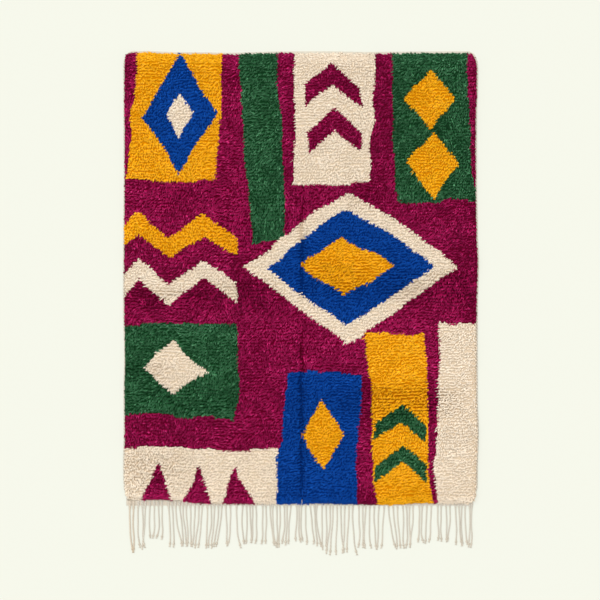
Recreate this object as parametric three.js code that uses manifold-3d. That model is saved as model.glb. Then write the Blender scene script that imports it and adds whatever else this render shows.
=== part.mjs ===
// A hand-knotted wool rug, lying flat with its deep pile up, and the fringe of knotted
// warp ends at one of its two ends. Millimetres, +Z up. The origin is the middle of the
// rug's underside, +Y points to the plain end and -Y to the fringed end.

import * as THREE from 'three';
import Module from 'manifold-3d';

const wasm = await Module();
wasm.setup();

// The rug body.
const pileWidth = 1600;
const rugLength = 2040; // woven, from the fringed end of the pile to the plain end's edge
const pileTop = 25; // the usual height of the pile's surface
const rimBulge = 9; // the height at which the pile stands out furthest at its edge
const rimTuck = 7; // how far the edge draws in again below that, down to the floor
const rimRound = 42; // how far in from the edge the pile reaches its full height
const rimRings = [0, 10, rimRound]; // places of the mesh lines along the rounded edge
const cellsAcross = 34; // mesh cells between the rounded edges, across the rug
const cellsAlong = 44; // and along it
const swayFade = 3; // the power by which the outline's sway fades from the rim inwards

// The bare end of the ground weave that shows beyond the pile at the plain end.
const weaveThick = 3;
const ledge = { from: -766, to: 786, reach: 11, root: 60 };

// How far each side of the pile stands out from a straight line, at places along the rug.
const sideSway = [
  { along: -1020, left: -10, right: -12 },
  { along: -1000, left: -5, right: -5 },
  { along: -960, left: 0, right: -1 },
  { along: -875, left: 2, right: 0 },
  { along: -694, left: -1, right: 5 },
  { along: -550, left: 0, right: 0 },
  { along: -333, left: -3, right: -1 },
  { along: -152, left: 2, right: 0 },
  { along: 64, left: 2, right: 5 },
  { along: 209, left: 1, right: 0 },
  { along: 425, left: -1, right: -4 },
  { along: 714, left: 0, right: -4 },
  { along: 931, left: 1, right: 2 },
  { along: 1020, left: 0, right: -1 },
];

// The same for the two ends, at places across the rug. At the plain end the pile stops
// a little short of the weave.
const endSway = [
  { across: -800, fringed: -19, plain: -7 },
  { across: -690, fringed: -18, plain: -8 },
  { across: -560, fringed: -14, plain: -13 },
  { across: -450, fringed: -1, plain: -13 },
  { across: -340, fringed: 0, plain: -16 },
  { across: -90, fringed: 1, plain: -10 },
  { across: 90, fringed: -2, plain: -9 },
  { across: 300, fringed: 4, plain: -12 },
  { across: 450, fringed: 4, plain: -11 },
  { across: 530, fringed: -3, plain: -10 },
  { across: 800, fringed: 0, plain: -9 },
];

const cornerRadius = { leftPlain: 20, rightPlain: 36, leftFringed: 16, rightFringed: 24 };

// The pile's unevenness: long low waves, each with its height, span, heading and shift.
const pileWaves = [
  { height: 1.5, span: 330, heading: 0.4, shift: 0.6 },
  { height: 1.3, span: 205, heading: 1.9, shift: 2.1 },
  { height: 1.2, span: 158, heading: 2.7, shift: 4.4 },
  { height: 1.1, span: 137, heading: 1.1, shift: 1.3 },
];

// Soft troughs where the rug was folded and the rows of its pile lie parted.
const foldTroughs = [
  { x: 17, y: 150, turn: 90, length: 540, halfWidth: 26, depth: 7 },
  { x: 2, y: -640, turn: 90, length: 820, halfWidth: 26, depth: 7 },
  { x: -578, y: -96, turn: 2, length: 430, halfWidth: 38, depth: 5 },
  { x: -240, y: -74, turn: -3, length: 330, halfWidth: 50, depth: 4 },
  { x: 168, y: -4, turn: 4, length: 300, halfWidth: 50, depth: 5 },
  { x: 573, y: -44, turn: -1, length: 470, halfWidth: 42, depth: 6 },
  { x: -470, y: -545, turn: -2, length: 480, halfWidth: 44, depth: 4 },
  { x: 470, y: -556, turn: 1, length: 560, halfWidth: 46, depth: 6 },
  { x: 275, y: 344, turn: 0, length: 190, halfWidth: 42, depth: 4 },
  { x: -480, y: 385, turn: 3, length: 330, halfWidth: 44, depth: 3 },
  { x: -250, y: 215, turn: 0, length: 320, halfWidth: 60, depth: 3 },
  { x: -655, y: -865, turn: -6, length: 280, halfWidth: 48, depth: 4 },
];

// Locks of pile that stand out past the rug's rim.
const lock = {
  pitch: 45, // from lock to lock
  width: 15,
  height: 7.5,
  tipWidth: 4,
  tipHeight: 3,
  root: 9, // how far inside the rim a lock starts
  shoulder: 2, // how far inside the rim it starts to narrow
  shoulderDrift: 0.33, // the share of its sideways lean that it has there
  shift: 13, // how far it stands off its even place along the rim, either way
  reach: 7, // how far past the rim its tip comes
  uneven: 4, // how much that reach varies, either way
  drift: 9, // how far the tip leans sideways, either way
  rise: 1.2, // how much its height varies, either way
  level: 4.4, // the height of its underside, clear of the weave below
};

// The fringe: the woven strip that ends the ground weave, with the knotted warp ends.
const seam = 0.3; // the room between the strip and the rug body
const strip = {
  from: -786,
  to: 779,
  back: -1004, // under the pile, whose edge it follows
  front: -1032,
  frontFollow: 0.25, // the share of the pile's sway that its front has
  thick: 3.4,
  step: 42, // between the points of its edges
};
const strand = {
  rootWidth: 6.4,
  width: 5.6,
  height: 4.6,
  knotWidth: 8,
  knotHeight: 6.4,
  knotPlace: 13, // from the strand's tip to the middle of its knot
  knotHalf: 5,
  tipWidth: 3.4,
  tipHeight: 2.2,
  rootDepth: 6, // how far inside the strip a strand starts
  rootSunk: 0.6, // how far its root lies below the strip's surface
  bends: [0.3, 0.62], // the shares of its length at which it bends
  lengthUneven: 5,
  bow: 4, // how far a strand bows sideways, either way
};

// The strands lie in bunches. Each row gives a bunch's first root, the room from root to
// root, the strands in it, its first tip, the room from tip to tip, and how far it hangs.
const bunches = [
  { root: -768, rootGap: 16, strands: 2, tip: -762, tipGap: 16, hang: 205 },
  { root: -731, rootGap: 16, strands: 3, tip: -727, tipGap: 12, hang: 192 },
  { root: -679, rootGap: 17.5, strands: 4, tip: -677, tipGap: 18, hang: 148 },
  { root: -598, rootGap: 17, strands: 2, tip: -584, tipGap: 12, hang: 183 },
  { root: -564, rootGap: 16.5, strands: 5, tip: -540, tipGap: 11, hang: 178 },
  { root: -477, rootGap: 18, strands: 4, tip: -483, tipGap: 16, hang: 185 },
  { root: -405, rootGap: 16, strands: 4, tip: -413, tipGap: 12, hang: 186 },
  { root: -339, rootGap: 20, strands: 2, tip: -334, tipGap: 12, hang: 179 },
  { root: -288, rootGap: 0, strands: 1, tip: -279, tipGap: 0, hang: 185 },
  { root: -260, rootGap: 14, strands: 5, tip: -262, tipGap: 15.5, hang: 167 },
  { root: -172, rootGap: 15, strands: 2, tip: -174, tipGap: 19, hang: 170 },
  { root: -138, rootGap: 14, strands: 4, tip: -132, tipGap: 11.5, hang: 181 },
  { root: -76, rootGap: 17, strands: 3, tip: -79, tipGap: 14, hang: 172 },
  { root: -20, rootGap: 13, strands: 3, tip: -29, tipGap: 18, hang: 160 },
  { root: 24, rootGap: 18, strands: 2, tip: 28, tipGap: 26, hang: 168 },
  { root: 61, rootGap: 14, strands: 2, tip: 69, tipGap: 12, hang: 183 },
  { root: 97, rootGap: 16, strands: 2, tip: 96, tipGap: 14, hang: 192 },
  { root: 131, rootGap: 16, strands: 3, tip: 125, tipGap: 14, hang: 217 },
  { root: 182, rootGap: 18, strands: 3, tip: 185, tipGap: 14, hang: 208 },
  { root: 236, rootGap: 0, strands: 1, tip: 245, tipGap: 0, hang: 221 },
  { root: 262, rootGap: 17, strands: 4, tip: 263, tipGap: 15.5, hang: 189 },
  { root: 334, rootGap: 22, strands: 3, tip: 337, tipGap: 19, hang: 192 },
  { root: 396, rootGap: 20, strands: 3, tip: 416, tipGap: 13, hang: 190 },
  { root: 459, rootGap: 16, strands: 4, tip: 462, tipGap: 13, hang: 188 },
  { root: 533, rootGap: 19, strands: 4, tip: 533, tipGap: 17, hang: 164 },
  { root: 618, rootGap: 18, strands: 4, tip: 620, tipGap: 16, hang: 158 },
  { root: 696, rootGap: 16, strands: 4, tip: 702, tipGap: 14.5, hang: 178 },
  { root: 762, rootGap: 11, strands: 2, tip: 764, tipGap: 13, hang: 190 },
];

/** A steady stand-in for chance, from -1 to 1, for the number and the kind of a thing. */
function uneven(number, kind) {
  const wave = Math.sin(number * 12.9898 + kind * 78.233) * 43758.5453;
  return 2 * (wave - Math.floor(wave)) - 1;
}

/** Runs from 0 to 1 with a level start and a level end. */
function eased(share) {
  const kept = THREE.MathUtils.clamp(share, 0, 1);
  return kept * kept * (3 - 2 * kept);
}

/** The value of a column at a place between the rows of a table. */
function between(table, placeColumn, place, column) {
  const next = table.findIndex((row) => row[placeColumn] >= place);
  if (next <= 0) {
    return next === 0 ? table[0][column] : table[table.length - 1][column];
  }
  const [before, after] = [table[next - 1], table[next]];
  const share = (place - before[placeColumn]) / (after[placeColumn] - before[placeColumn]);
  return THREE.MathUtils.lerp(before[column], after[column], eased(share));
}

/** Pulls a point of a square corner in towards a round one. */
function roundedCorner(x, y) {
  const side = x < 0 ? 'left' : 'right';
  const end = y < 0 ? 'Fringed' : 'Plain';
  const radius = cornerRadius[side + end];
  const outX = Math.abs(x) - (pileWidth / 2 - radius);
  const outY = Math.abs(y) - (rugLength / 2 - radius);
  if (outX <= 0 || outY <= 0) {
    return [x, y];
  }
  const bend = 2 * radius * radius;
  const roundX = outX * Math.sqrt(1 - (outY * outY) / bend);
  const roundY = outY * Math.sqrt(1 - (outX * outX) / bend);
  return [x - Math.sign(x) * (outX - roundX), y - Math.sign(y) * (outY - roundY)];
}

/** Moves a point of the straight rectangle to its place on the real, swaying outline. */
function onRug(x, y) {
  const [roundX, roundY] = roundedCorner(x, y);
  const sideShare = (2 * Math.abs(x)) / pileWidth;
  const endShare = (2 * Math.abs(y)) / rugLength;
  const side = between(sideSway, 'along', y, x < 0 ? 'left' : 'right');
  const end = between(endSway, 'across', x, y < 0 ? 'fringed' : 'plain');
  return [
    roundX + Math.sign(x) * side * sideShare ** swayFade,
    roundY + Math.sign(y) * end * endShare ** swayFade,
  ];
}

/** How deep the fold troughs are at a point. */
function troughDepth(x, y) {
  return foldTroughs.reduce((depth, trough) => {
    const turn = THREE.MathUtils.degToRad(trough.turn);
    const [dx, dy] = [x - trough.x, y - trough.y];
    const along = Math.abs(dx * Math.cos(turn) + dy * Math.sin(turn));
    const across = dy * Math.cos(turn) - dx * Math.sin(turn);
    const fade = eased((trough.length / 2 - along) / trough.halfWidth + 1);
    return Math.max(depth, trough.depth * fade * Math.exp(-((across / trough.halfWidth) ** 2)));
  }, 0);
}

/** The height of the pile's surface at a point of the straight rectangle. */
function pileHeight(x, y) {
  const waves = pileWaves.reduce((sum, wave) => {
    const run = x * Math.cos(wave.heading) + y * Math.sin(wave.heading);
    return sum + wave.height * Math.sin((2 * Math.PI * run) / wave.span + wave.shift);
  }, 0);
  const inset = Math.min(pileWidth / 2 - Math.abs(x), rugLength / 2 - Math.abs(y));
  const toGo = Math.max(0, 1 - inset / rimRound);
  const full = pileTop + waves - troughDepth(x, y) - rimBulge;
  return rimBulge + full * Math.sqrt(1 - toGo * toGo);
}

/** The places of the mesh lines from one edge of the rug to the other. */
function meshLines(half, cells) {
  const inner = half - rimRound;
  const middle = Array.from({ length: cells - 1 }, (_, i) => inner * ((2 * (i + 1)) / cells - 1));
  const rim = rimRings.map((inset) => half - inset);
  return [...rim.map((place) => -place), ...middle, ...rim.toReversed()];
}

/** A closed mesh from corner points and triangles of their numbers. */
function meshOf(points, triangles) {
  const geometry = new THREE.BufferGeometry();
  geometry.setAttribute('position', new THREE.Float32BufferAttribute(points.flat(), 3));
  geometry.setIndex(triangles.flat());
  return geometry;
}

/** The lumpy slab of pile, from its flat underside to its rounded, uneven top. */
function slabGeometry() {
  const columns = meshLines(pileWidth / 2, cellsAcross);
  const rows = meshLines(rugLength / 2, cellsAlong);
  const points = [];
  const triangles = [];
  const topPoint = (column, row) => row * columns.length + column;
  for (const y of rows) {
    for (const x of columns) {
      points.push([...onRug(x, y), pileHeight(x, y)]);
    }
  }
  for (let row = 0; row < rows.length - 1; row += 1) {
    for (let column = 0; column < columns.length - 1; column += 1) {
      const [a, b] = [topPoint(column, row), topPoint(column + 1, row)];
      const [d, c] = [topPoint(column, row + 1), topPoint(column + 1, row + 1)];
      triangles.push([a, b, c], [a, c, d]);
    }
  }
  const [lastColumn, lastRow] = [columns.length - 1, rows.length - 1];
  const rim = [
    ...columns.slice(0, -1).map((_, i) => topPoint(i, 0)),
    ...rows.slice(0, -1).map((_, i) => topPoint(lastColumn, i)),
    ...columns.slice(0, -1).map((_, i) => topPoint(lastColumn - i, lastRow)),
    ...rows.slice(0, -1).map((_, i) => topPoint(0, lastRow - i)),
  ];
  const firstUnder = points.length;
  const keep = [1 - (2 * rimTuck) / pileWidth, 1 - (2 * rimTuck) / rugLength];
  for (const number of rim) {
    const [x, y] = points[number];
    points.push([x * keep[0], y * keep[1], 0]);
  }
  rim.forEach((number, i) => {
    const next = (i + 1) % rim.length;
    triangles.push([number, firstUnder + i, firstUnder + next]);
    triangles.push([number, firstUnder + next, rim[next]]);
  });
  const underside = rim.map((_, i) => new THREE.Vector2(...points[firstUnder + i]));
  for (const [a, b, c] of THREE.ShapeUtils.triangulateShape(underside, [])) {
    triangles.push([firstUnder + a, firstUnder + c, firstUnder + b]);
  }
  return meshOf(points, triangles);
}

/** A four-sided strand through its stations, each with a place, two heights and a width. */
function strandGeometry(stations) {
  const points = [];
  const triangles = [];
  stations.forEach((station, i) => {
    const before = stations[Math.max(i - 1, 0)];
    const after = stations[Math.min(i + 1, stations.length - 1)];
    const run = Math.hypot(after.x - before.x, after.y - before.y);
    const sideX = (-(after.y - before.y) / run) * (station.width / 2);
    const sideY = ((after.x - before.x) / run) * (station.width / 2);
    const { x, y, bottom, top } = station;
    points.push([x + sideX, y + sideY, bottom], [x - sideX, y - sideY, bottom]);
    points.push([x - sideX, y - sideY, top], [x + sideX, y + sideY, top]);
    if (i > 0) {
      const [start, end] = [4 * (i - 1), 4 * i];
      for (let side = 0; side < 4; side += 1) {
        const next = (side + 1) % 4;
        triangles.push([start + side, end + next, start + next]);
        triangles.push([start + side, end + side, end + next]);
      }
    }
  });
  const last = points.length - 4;
  triangles.push([0, 1, 2], [0, 2, 3]);
  triangles.push([last, last + 2, last + 1], [last, last + 3, last + 2]);
  return meshOf(points, triangles);
}

/** The solid inside a closed mesh whose corner points are shared. */
function solid(geometry) {
  return new wasm.Manifold(new wasm.Mesh({
    numProp: 3,
    vertProperties: new Float32Array(geometry.attributes.position.array),
    triVerts: new Uint32Array(geometry.index.array),
  }));
}

/** The mesh around a solid. */
function skin(body) {
  const { vertProperties, triVerts } = body.getMesh();
  const geometry = new THREE.BufferGeometry();
  geometry.setAttribute('position', new THREE.BufferAttribute(vertProperties, 3));
  geometry.setIndex(new THREE.BufferAttribute(triVerts, 1));
  return geometry;
}

/** A long flat strip between two uneven edges, each given as the height of y at x. */
function stripGeometry(from, to, step, back, front, thick) {
  const count = Math.round((to - from) / step);
  const places = Array.from({ length: count + 1 }, (_, i) => from + ((to - from) * i) / count);
  const outline = [
    ...places.map((x) => new THREE.Vector2(x, front(x))),
    ...places.toReversed().map((x) => new THREE.Vector2(x, back(x))),
  ];
  const triangles = THREE.ShapeUtils.triangulateShape(outline, []);
  const around = outline.length;
  const points = [0, thick].flatMap((z) => outline.map(({ x, y }) => [x, y, z]));
  const under = triangles.map(([a, b, c]) => [a, c, b]);
  const over = triangles.map(([a, b, c]) => [a + around, b + around, c + around]);
  const walls = outline.flatMap((_, i) => {
    const next = (i + 1) % around;
    return [[i, next, next + around], [i, next + around, i + around]];
  });
  const facingUp = THREE.ShapeUtils.isClockWise(outline)
    ? (list) => list.map(([a, b, c]) => [a, c, b])
    : (list) => list;
  return meshOf(points, [...under, ...over, ...facingUp(walls)]);
}

/** One lock of pile at the rim, from a point of the straight rectangle, heading outwards. */
function rimLock(x, y, outX, outY, number) {
  const [rimX, rimY] = onRug(x, y);
  const lean = lock.drift * uneven(number, 2);
  const rise = lock.rise * uneven(number, 3);
  const station = (out, aside, width, height) => ({
    x: rimX + outX * out - outY * aside,
    y: rimY + outY * out + outX * aside,
    bottom: lock.level,
    top: lock.level + height,
    width,
  });
  return strandGeometry([
    station(-lock.root, 0, lock.width, lock.height),
    station(-lock.shoulder, lean * lock.shoulderDrift, lock.width, lock.height + rise),
    station(lock.reach + lock.uneven * uneven(number, 1), lean, lock.tipWidth, lock.tipHeight),
  ]);
}

/** The locks of all four sides. */
function rimLocks() {
  const [halfWidth, halfLength] = [pileWidth / 2, rugLength / 2];
  const locks = [];
  const alongSide = (length, place) => {
    const count = Math.round((length - 2 * rimRound) / lock.pitch);
    for (let i = 0; i <= count; i += 1) {
      const number = locks.length;
      const shift = lock.shift * uneven(number, 4);
      const run = (length / 2 - rimRound) * ((2 * i) / count - 1) + (i % count ? shift : 0);
      locks.push(place(run, number));
    }
  };
  alongSide(pileWidth, (run, number) => rimLock(run, halfLength, 0, 1, number));
  alongSide(pileWidth, (run, number) => rimLock(run, -halfLength, 0, -1, number));
  alongSide(rugLength, (run, number) => rimLock(halfWidth, run, 1, 0, number));
  alongSide(rugLength, (run, number) => rimLock(-halfWidth, run, -1, 0, number));
  return locks;
}

/** One knotted strand, lying on the floor from its root in the strip to its tip. */
function fringeStrand(rootX, tipX, hang, number) {
  const bow = strand.bow * uneven(number, 5);
  const rootY = strip.front + strand.rootDepth;
  const reach = hang + strand.rootDepth;
  const knot = 1 - strand.knotPlace / reach;
  const half = strand.knotHalf / reach;
  const station = (share, width, top) => ({
    x: THREE.MathUtils.lerp(rootX, tipX, eased(share)) + bow * Math.sin(Math.PI * share),
    y: rootY - reach * share,
    bottom: 0,
    top,
    width,
  });
  return strandGeometry([
    station(0, strand.rootWidth, strip.thick - strand.rootSunk),
    ...strand.bends.map((share) => station(share, strand.width, strand.height)),
    station(knot - half, strand.width, strand.height),
    station(knot, strand.knotWidth, strand.knotHeight),
    station(knot + half, strand.width, strand.height),
    station(1, strand.tipWidth, strand.tipHeight),
  ]);
}

/** Every strand of the fringe, bunch by bunch. */
function fringeStrands() {
  const strands = [];
  for (const bunch of bunches) {
    for (let i = 0; i < bunch.strands; i += 1) {
      const number = strands.length;
      const hang = bunch.hang + strand.lengthUneven * uneven(number, 6);
      const [rootX, tipX] = [bunch.root + i * bunch.rootGap, bunch.tip + i * bunch.tipGap];
      strands.push(fringeStrand(rootX, tipX, hang, number));
    }
  }
  return strands;
}

/** The woven strip, grown on every side by some room. */
function weaveStrip(room) {
  const drawnIn = (x) => -between(endSway, 'across', x, 'fringed');
  return solid(stripGeometry(
    strip.from - room,
    strip.to + room,
    strip.step,
    (x) => strip.back + room + drawnIn(x),
    (x) => strip.front - room + drawnIn(x) * strip.frontFollow,
    strip.thick + room,
  ));
}

/** The bare weave beyond the pile at the plain end. */
function weaveLedge() {
  const end = rugLength / 2;
  return solid(stripGeometry(
    ledge.from,
    ledge.to,
    strip.step,
    (x) => end + ledge.reach + between(endSway, 'across', x, 'plain'),
    () => end - ledge.root,
    weaveThick,
  ));
}

/** The rug body: its slab of pile with the rim locks and the ledge, cut back for the strip. */
function pileRug() {
  const grown = rimLocks().reduce((body, part) => body.add(solid(part)), solid(slabGeometry()));
  return skin(grown.add(weaveLedge()).subtract(weaveStrip(seam)));
}

/** The fringe: the woven strip with all its strands. */
function endFringe() {
  return skin(fringeStrands().reduce((body, part) => body.add(solid(part)), weaveStrip(0)));
}

const plumWool = new THREE.MeshStandardMaterial({
  color: new THREE.Color().setRGB(0.486, 0.043, 0.22, THREE.SRGBColorSpace),
  roughness: 0.95,
  metalness: 0,
});
const undyedWarp = new THREE.MeshStandardMaterial({
  color: new THREE.Color().setRGB(0.84, 0.8, 0.72, THREE.SRGBColorSpace),
  roughness: 0.9,
  metalness: 0,
});

const rug = new THREE.Group();
const body = new THREE.Mesh(pileRug(), plumWool);
body.name = 'pile_rug';
const fringe = new THREE.Mesh(endFringe(), undyedWarp);
fringe.name = 'end_fringe';
rug.add(body, fringe);

export default rug;
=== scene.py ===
"""A boujaad rug laid flat: deep knotted pile, ground weave and a fringe of knotted warps.

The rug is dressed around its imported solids. Every knot of the pile is a pair of locks of
wool, and takes its colour from a design of plain blocks, lozenges, chevrons, zigzags and
teeth. All lengths are in metres, +Y points to the plain end and the floor is at height 0.
"""

import logging
import math
from dataclasses import dataclass
from enum import Enum

import bpy
import numpy as np
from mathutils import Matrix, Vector
from mathutils.bvhtree import BVHTree


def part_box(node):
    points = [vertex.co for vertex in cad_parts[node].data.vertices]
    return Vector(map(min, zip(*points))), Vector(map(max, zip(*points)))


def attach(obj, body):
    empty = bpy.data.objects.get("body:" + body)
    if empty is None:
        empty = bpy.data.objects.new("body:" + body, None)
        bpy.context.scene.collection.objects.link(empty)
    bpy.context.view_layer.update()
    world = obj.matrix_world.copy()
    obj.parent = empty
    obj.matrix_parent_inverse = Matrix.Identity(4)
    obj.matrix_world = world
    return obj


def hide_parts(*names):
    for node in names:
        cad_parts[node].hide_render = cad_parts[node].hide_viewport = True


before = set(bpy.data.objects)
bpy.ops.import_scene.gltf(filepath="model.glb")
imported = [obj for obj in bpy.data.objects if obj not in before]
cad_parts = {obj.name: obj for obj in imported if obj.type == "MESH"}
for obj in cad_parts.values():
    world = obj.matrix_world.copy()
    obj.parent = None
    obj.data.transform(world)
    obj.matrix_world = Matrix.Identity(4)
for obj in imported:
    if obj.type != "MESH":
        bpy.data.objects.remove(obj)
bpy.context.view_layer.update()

MM = 0.001
BAKE_MAP = "OFBake"
YARN_MAP = "YarnMap"
FLOOR_GAP = 0.05 * MM  # nothing that lies on the floor is lower
WEAVE_LEVEL, PILE_LEVEL = 1.5 * MM, 4.0 * MM  # where the solid's outline is the weave's, and the pile's foot
STRIP_DEPTH = 0.045  # from the furthest back of the woven strip to its front
STRIP_RIGHT = 0.779  # where it ends on the right
KNOT_ALONG = 0.93  # how far along its strand a knot is
DULL = 0.05  # the gloss of undyed wool
UP = np.array([0.0, 0.0, 1.0])

log = logging.getLogger("rug")

Colour = tuple[float, float, float]
Floats = np.ndarray


def linear(colour: Colour) -> tuple[float, float, float, float]:
    """Turns a colour as a screen shows it into a shader's linear colour, with an alpha of 1."""
    parts = [c / 12.92 if c <= 0.04045 else ((c + 0.055) / 1.055) ** 2.4 for c in colour]
    return (parts[0], parts[1], parts[2], 1.0)


def eased(share: Floats) -> Floats:
    """Runs from 0 to 1 with a level start and a level end."""
    kept = np.clip(share, 0.0, 1.0)
    return kept * kept * (3.0 - 2.0 * kept)


def lengths_to_one(vectors: Floats) -> Floats:
    """Scales each row of vectors to a length of 1."""
    return vectors / np.maximum(np.linalg.norm(vectors, axis=-1, keepdims=True), 1e-12)


def points_of(mesh: bpy.types.Mesh) -> Floats:
    """The places of a mesh's points, a row for each."""
    return np.array([vertex.co[:] for vertex in mesh.vertices])


def set_points(mesh: bpy.types.Mesh, points: Floats) -> None:
    """Moves a mesh's points to new places."""
    mesh.vertices.foreach_set("co", points.astype(np.float32).ravel())
    mesh.update()


def set_numbers(mesh: bpy.types.Mesh, name: str, domain: str, values: Floats) -> None:
    """Stores a number for each point or each corner of a mesh."""
    layer = mesh.attributes.new(name, "FLOAT", domain)
    layer.data.foreach_set("value", values.astype(np.float32).ravel())


def flat_grid(name: str, columns: int, rows: int) -> tuple[bpy.types.Object, Floats, Floats]:
    """Makes a flat sheet of even cells.

    Args:
        name: Its name.
        columns: How many cells it has across.
        rows: How many it has along.

    Returns:
        The sheet, and how far across and along it each of its points is, from 0 to 1.
    """
    bpy.ops.object.select_all(action="DESELECT")
    bpy.ops.mesh.primitive_grid_add(x_subdivisions=columns, y_subdivisions=rows, size=1.0)
    sheet = bpy.context.active_object
    sheet.name = sheet.data.name = name
    shares = points_of(sheet.data) + 0.5
    return sheet, shares[:, 0], shares[:, 1]


def thicken(sheet: bpy.types.Object, x: Floats, y: Floats, thick: float) -> None:
    """Lays a flat sheet's points on the floor and gives it its thickness.

    Args:
        sheet: The sheet, which is the active object.
        x: The place of each point across the rug.
        y: Its place along it.
        thick: The thickness, up from the floor.
    """
    set_points(sheet.data, np.stack([x, y, np.zeros_like(x)], 1))
    solid = sheet.modifiers.new("thickness", "SOLIDIFY")
    solid.thickness, solid.offset = thick, 1.0
    bpy.ops.object.modifier_apply(modifier=solid.name)


def dress(piece: bpy.types.Object, material: bpy.types.Material) -> bpy.types.Object:
    """Finishes a piece.

    Args:
        piece: The piece.
        material: Its material.

    Returns:
        The piece.
    """
    piece.data.materials.append(material)
    return piece


class Socket:
    """A number in a shader. Python's operators on it add the Math nodes they stand for."""

    def __init__(self, board: "ShaderBoard", end: bpy.types.NodeSocket) -> None:
        """Wraps an output socket.

        Args:
            board: The material's nodes that the socket belongs to.
            end: The output socket itself.
        """
        self.board = board
        self.end = end

    def __add__(self, other: "Value") -> "Socket":
        """This number plus another."""
        return self.board.math("ADD", self, other)

    def __radd__(self, other: "Value") -> "Socket":
        """Another number plus this one."""
        return self.board.math("ADD", other, self)

    def __sub__(self, other: "Value") -> "Socket":
        """This number less another."""
        return self.board.math("SUBTRACT", self, other)

    def __rsub__(self, other: "Value") -> "Socket":
        """Another number less this one."""
        return self.board.math("SUBTRACT", other, self)

    def __mul__(self, other: "Value") -> "Socket":
        """This number times another."""
        return self.board.math("MULTIPLY", self, other)

    def __rmul__(self, other: "Value") -> "Socket":
        """Another number times this one."""
        return self.board.math("MULTIPLY", other, self)


Value = Socket | float


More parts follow.
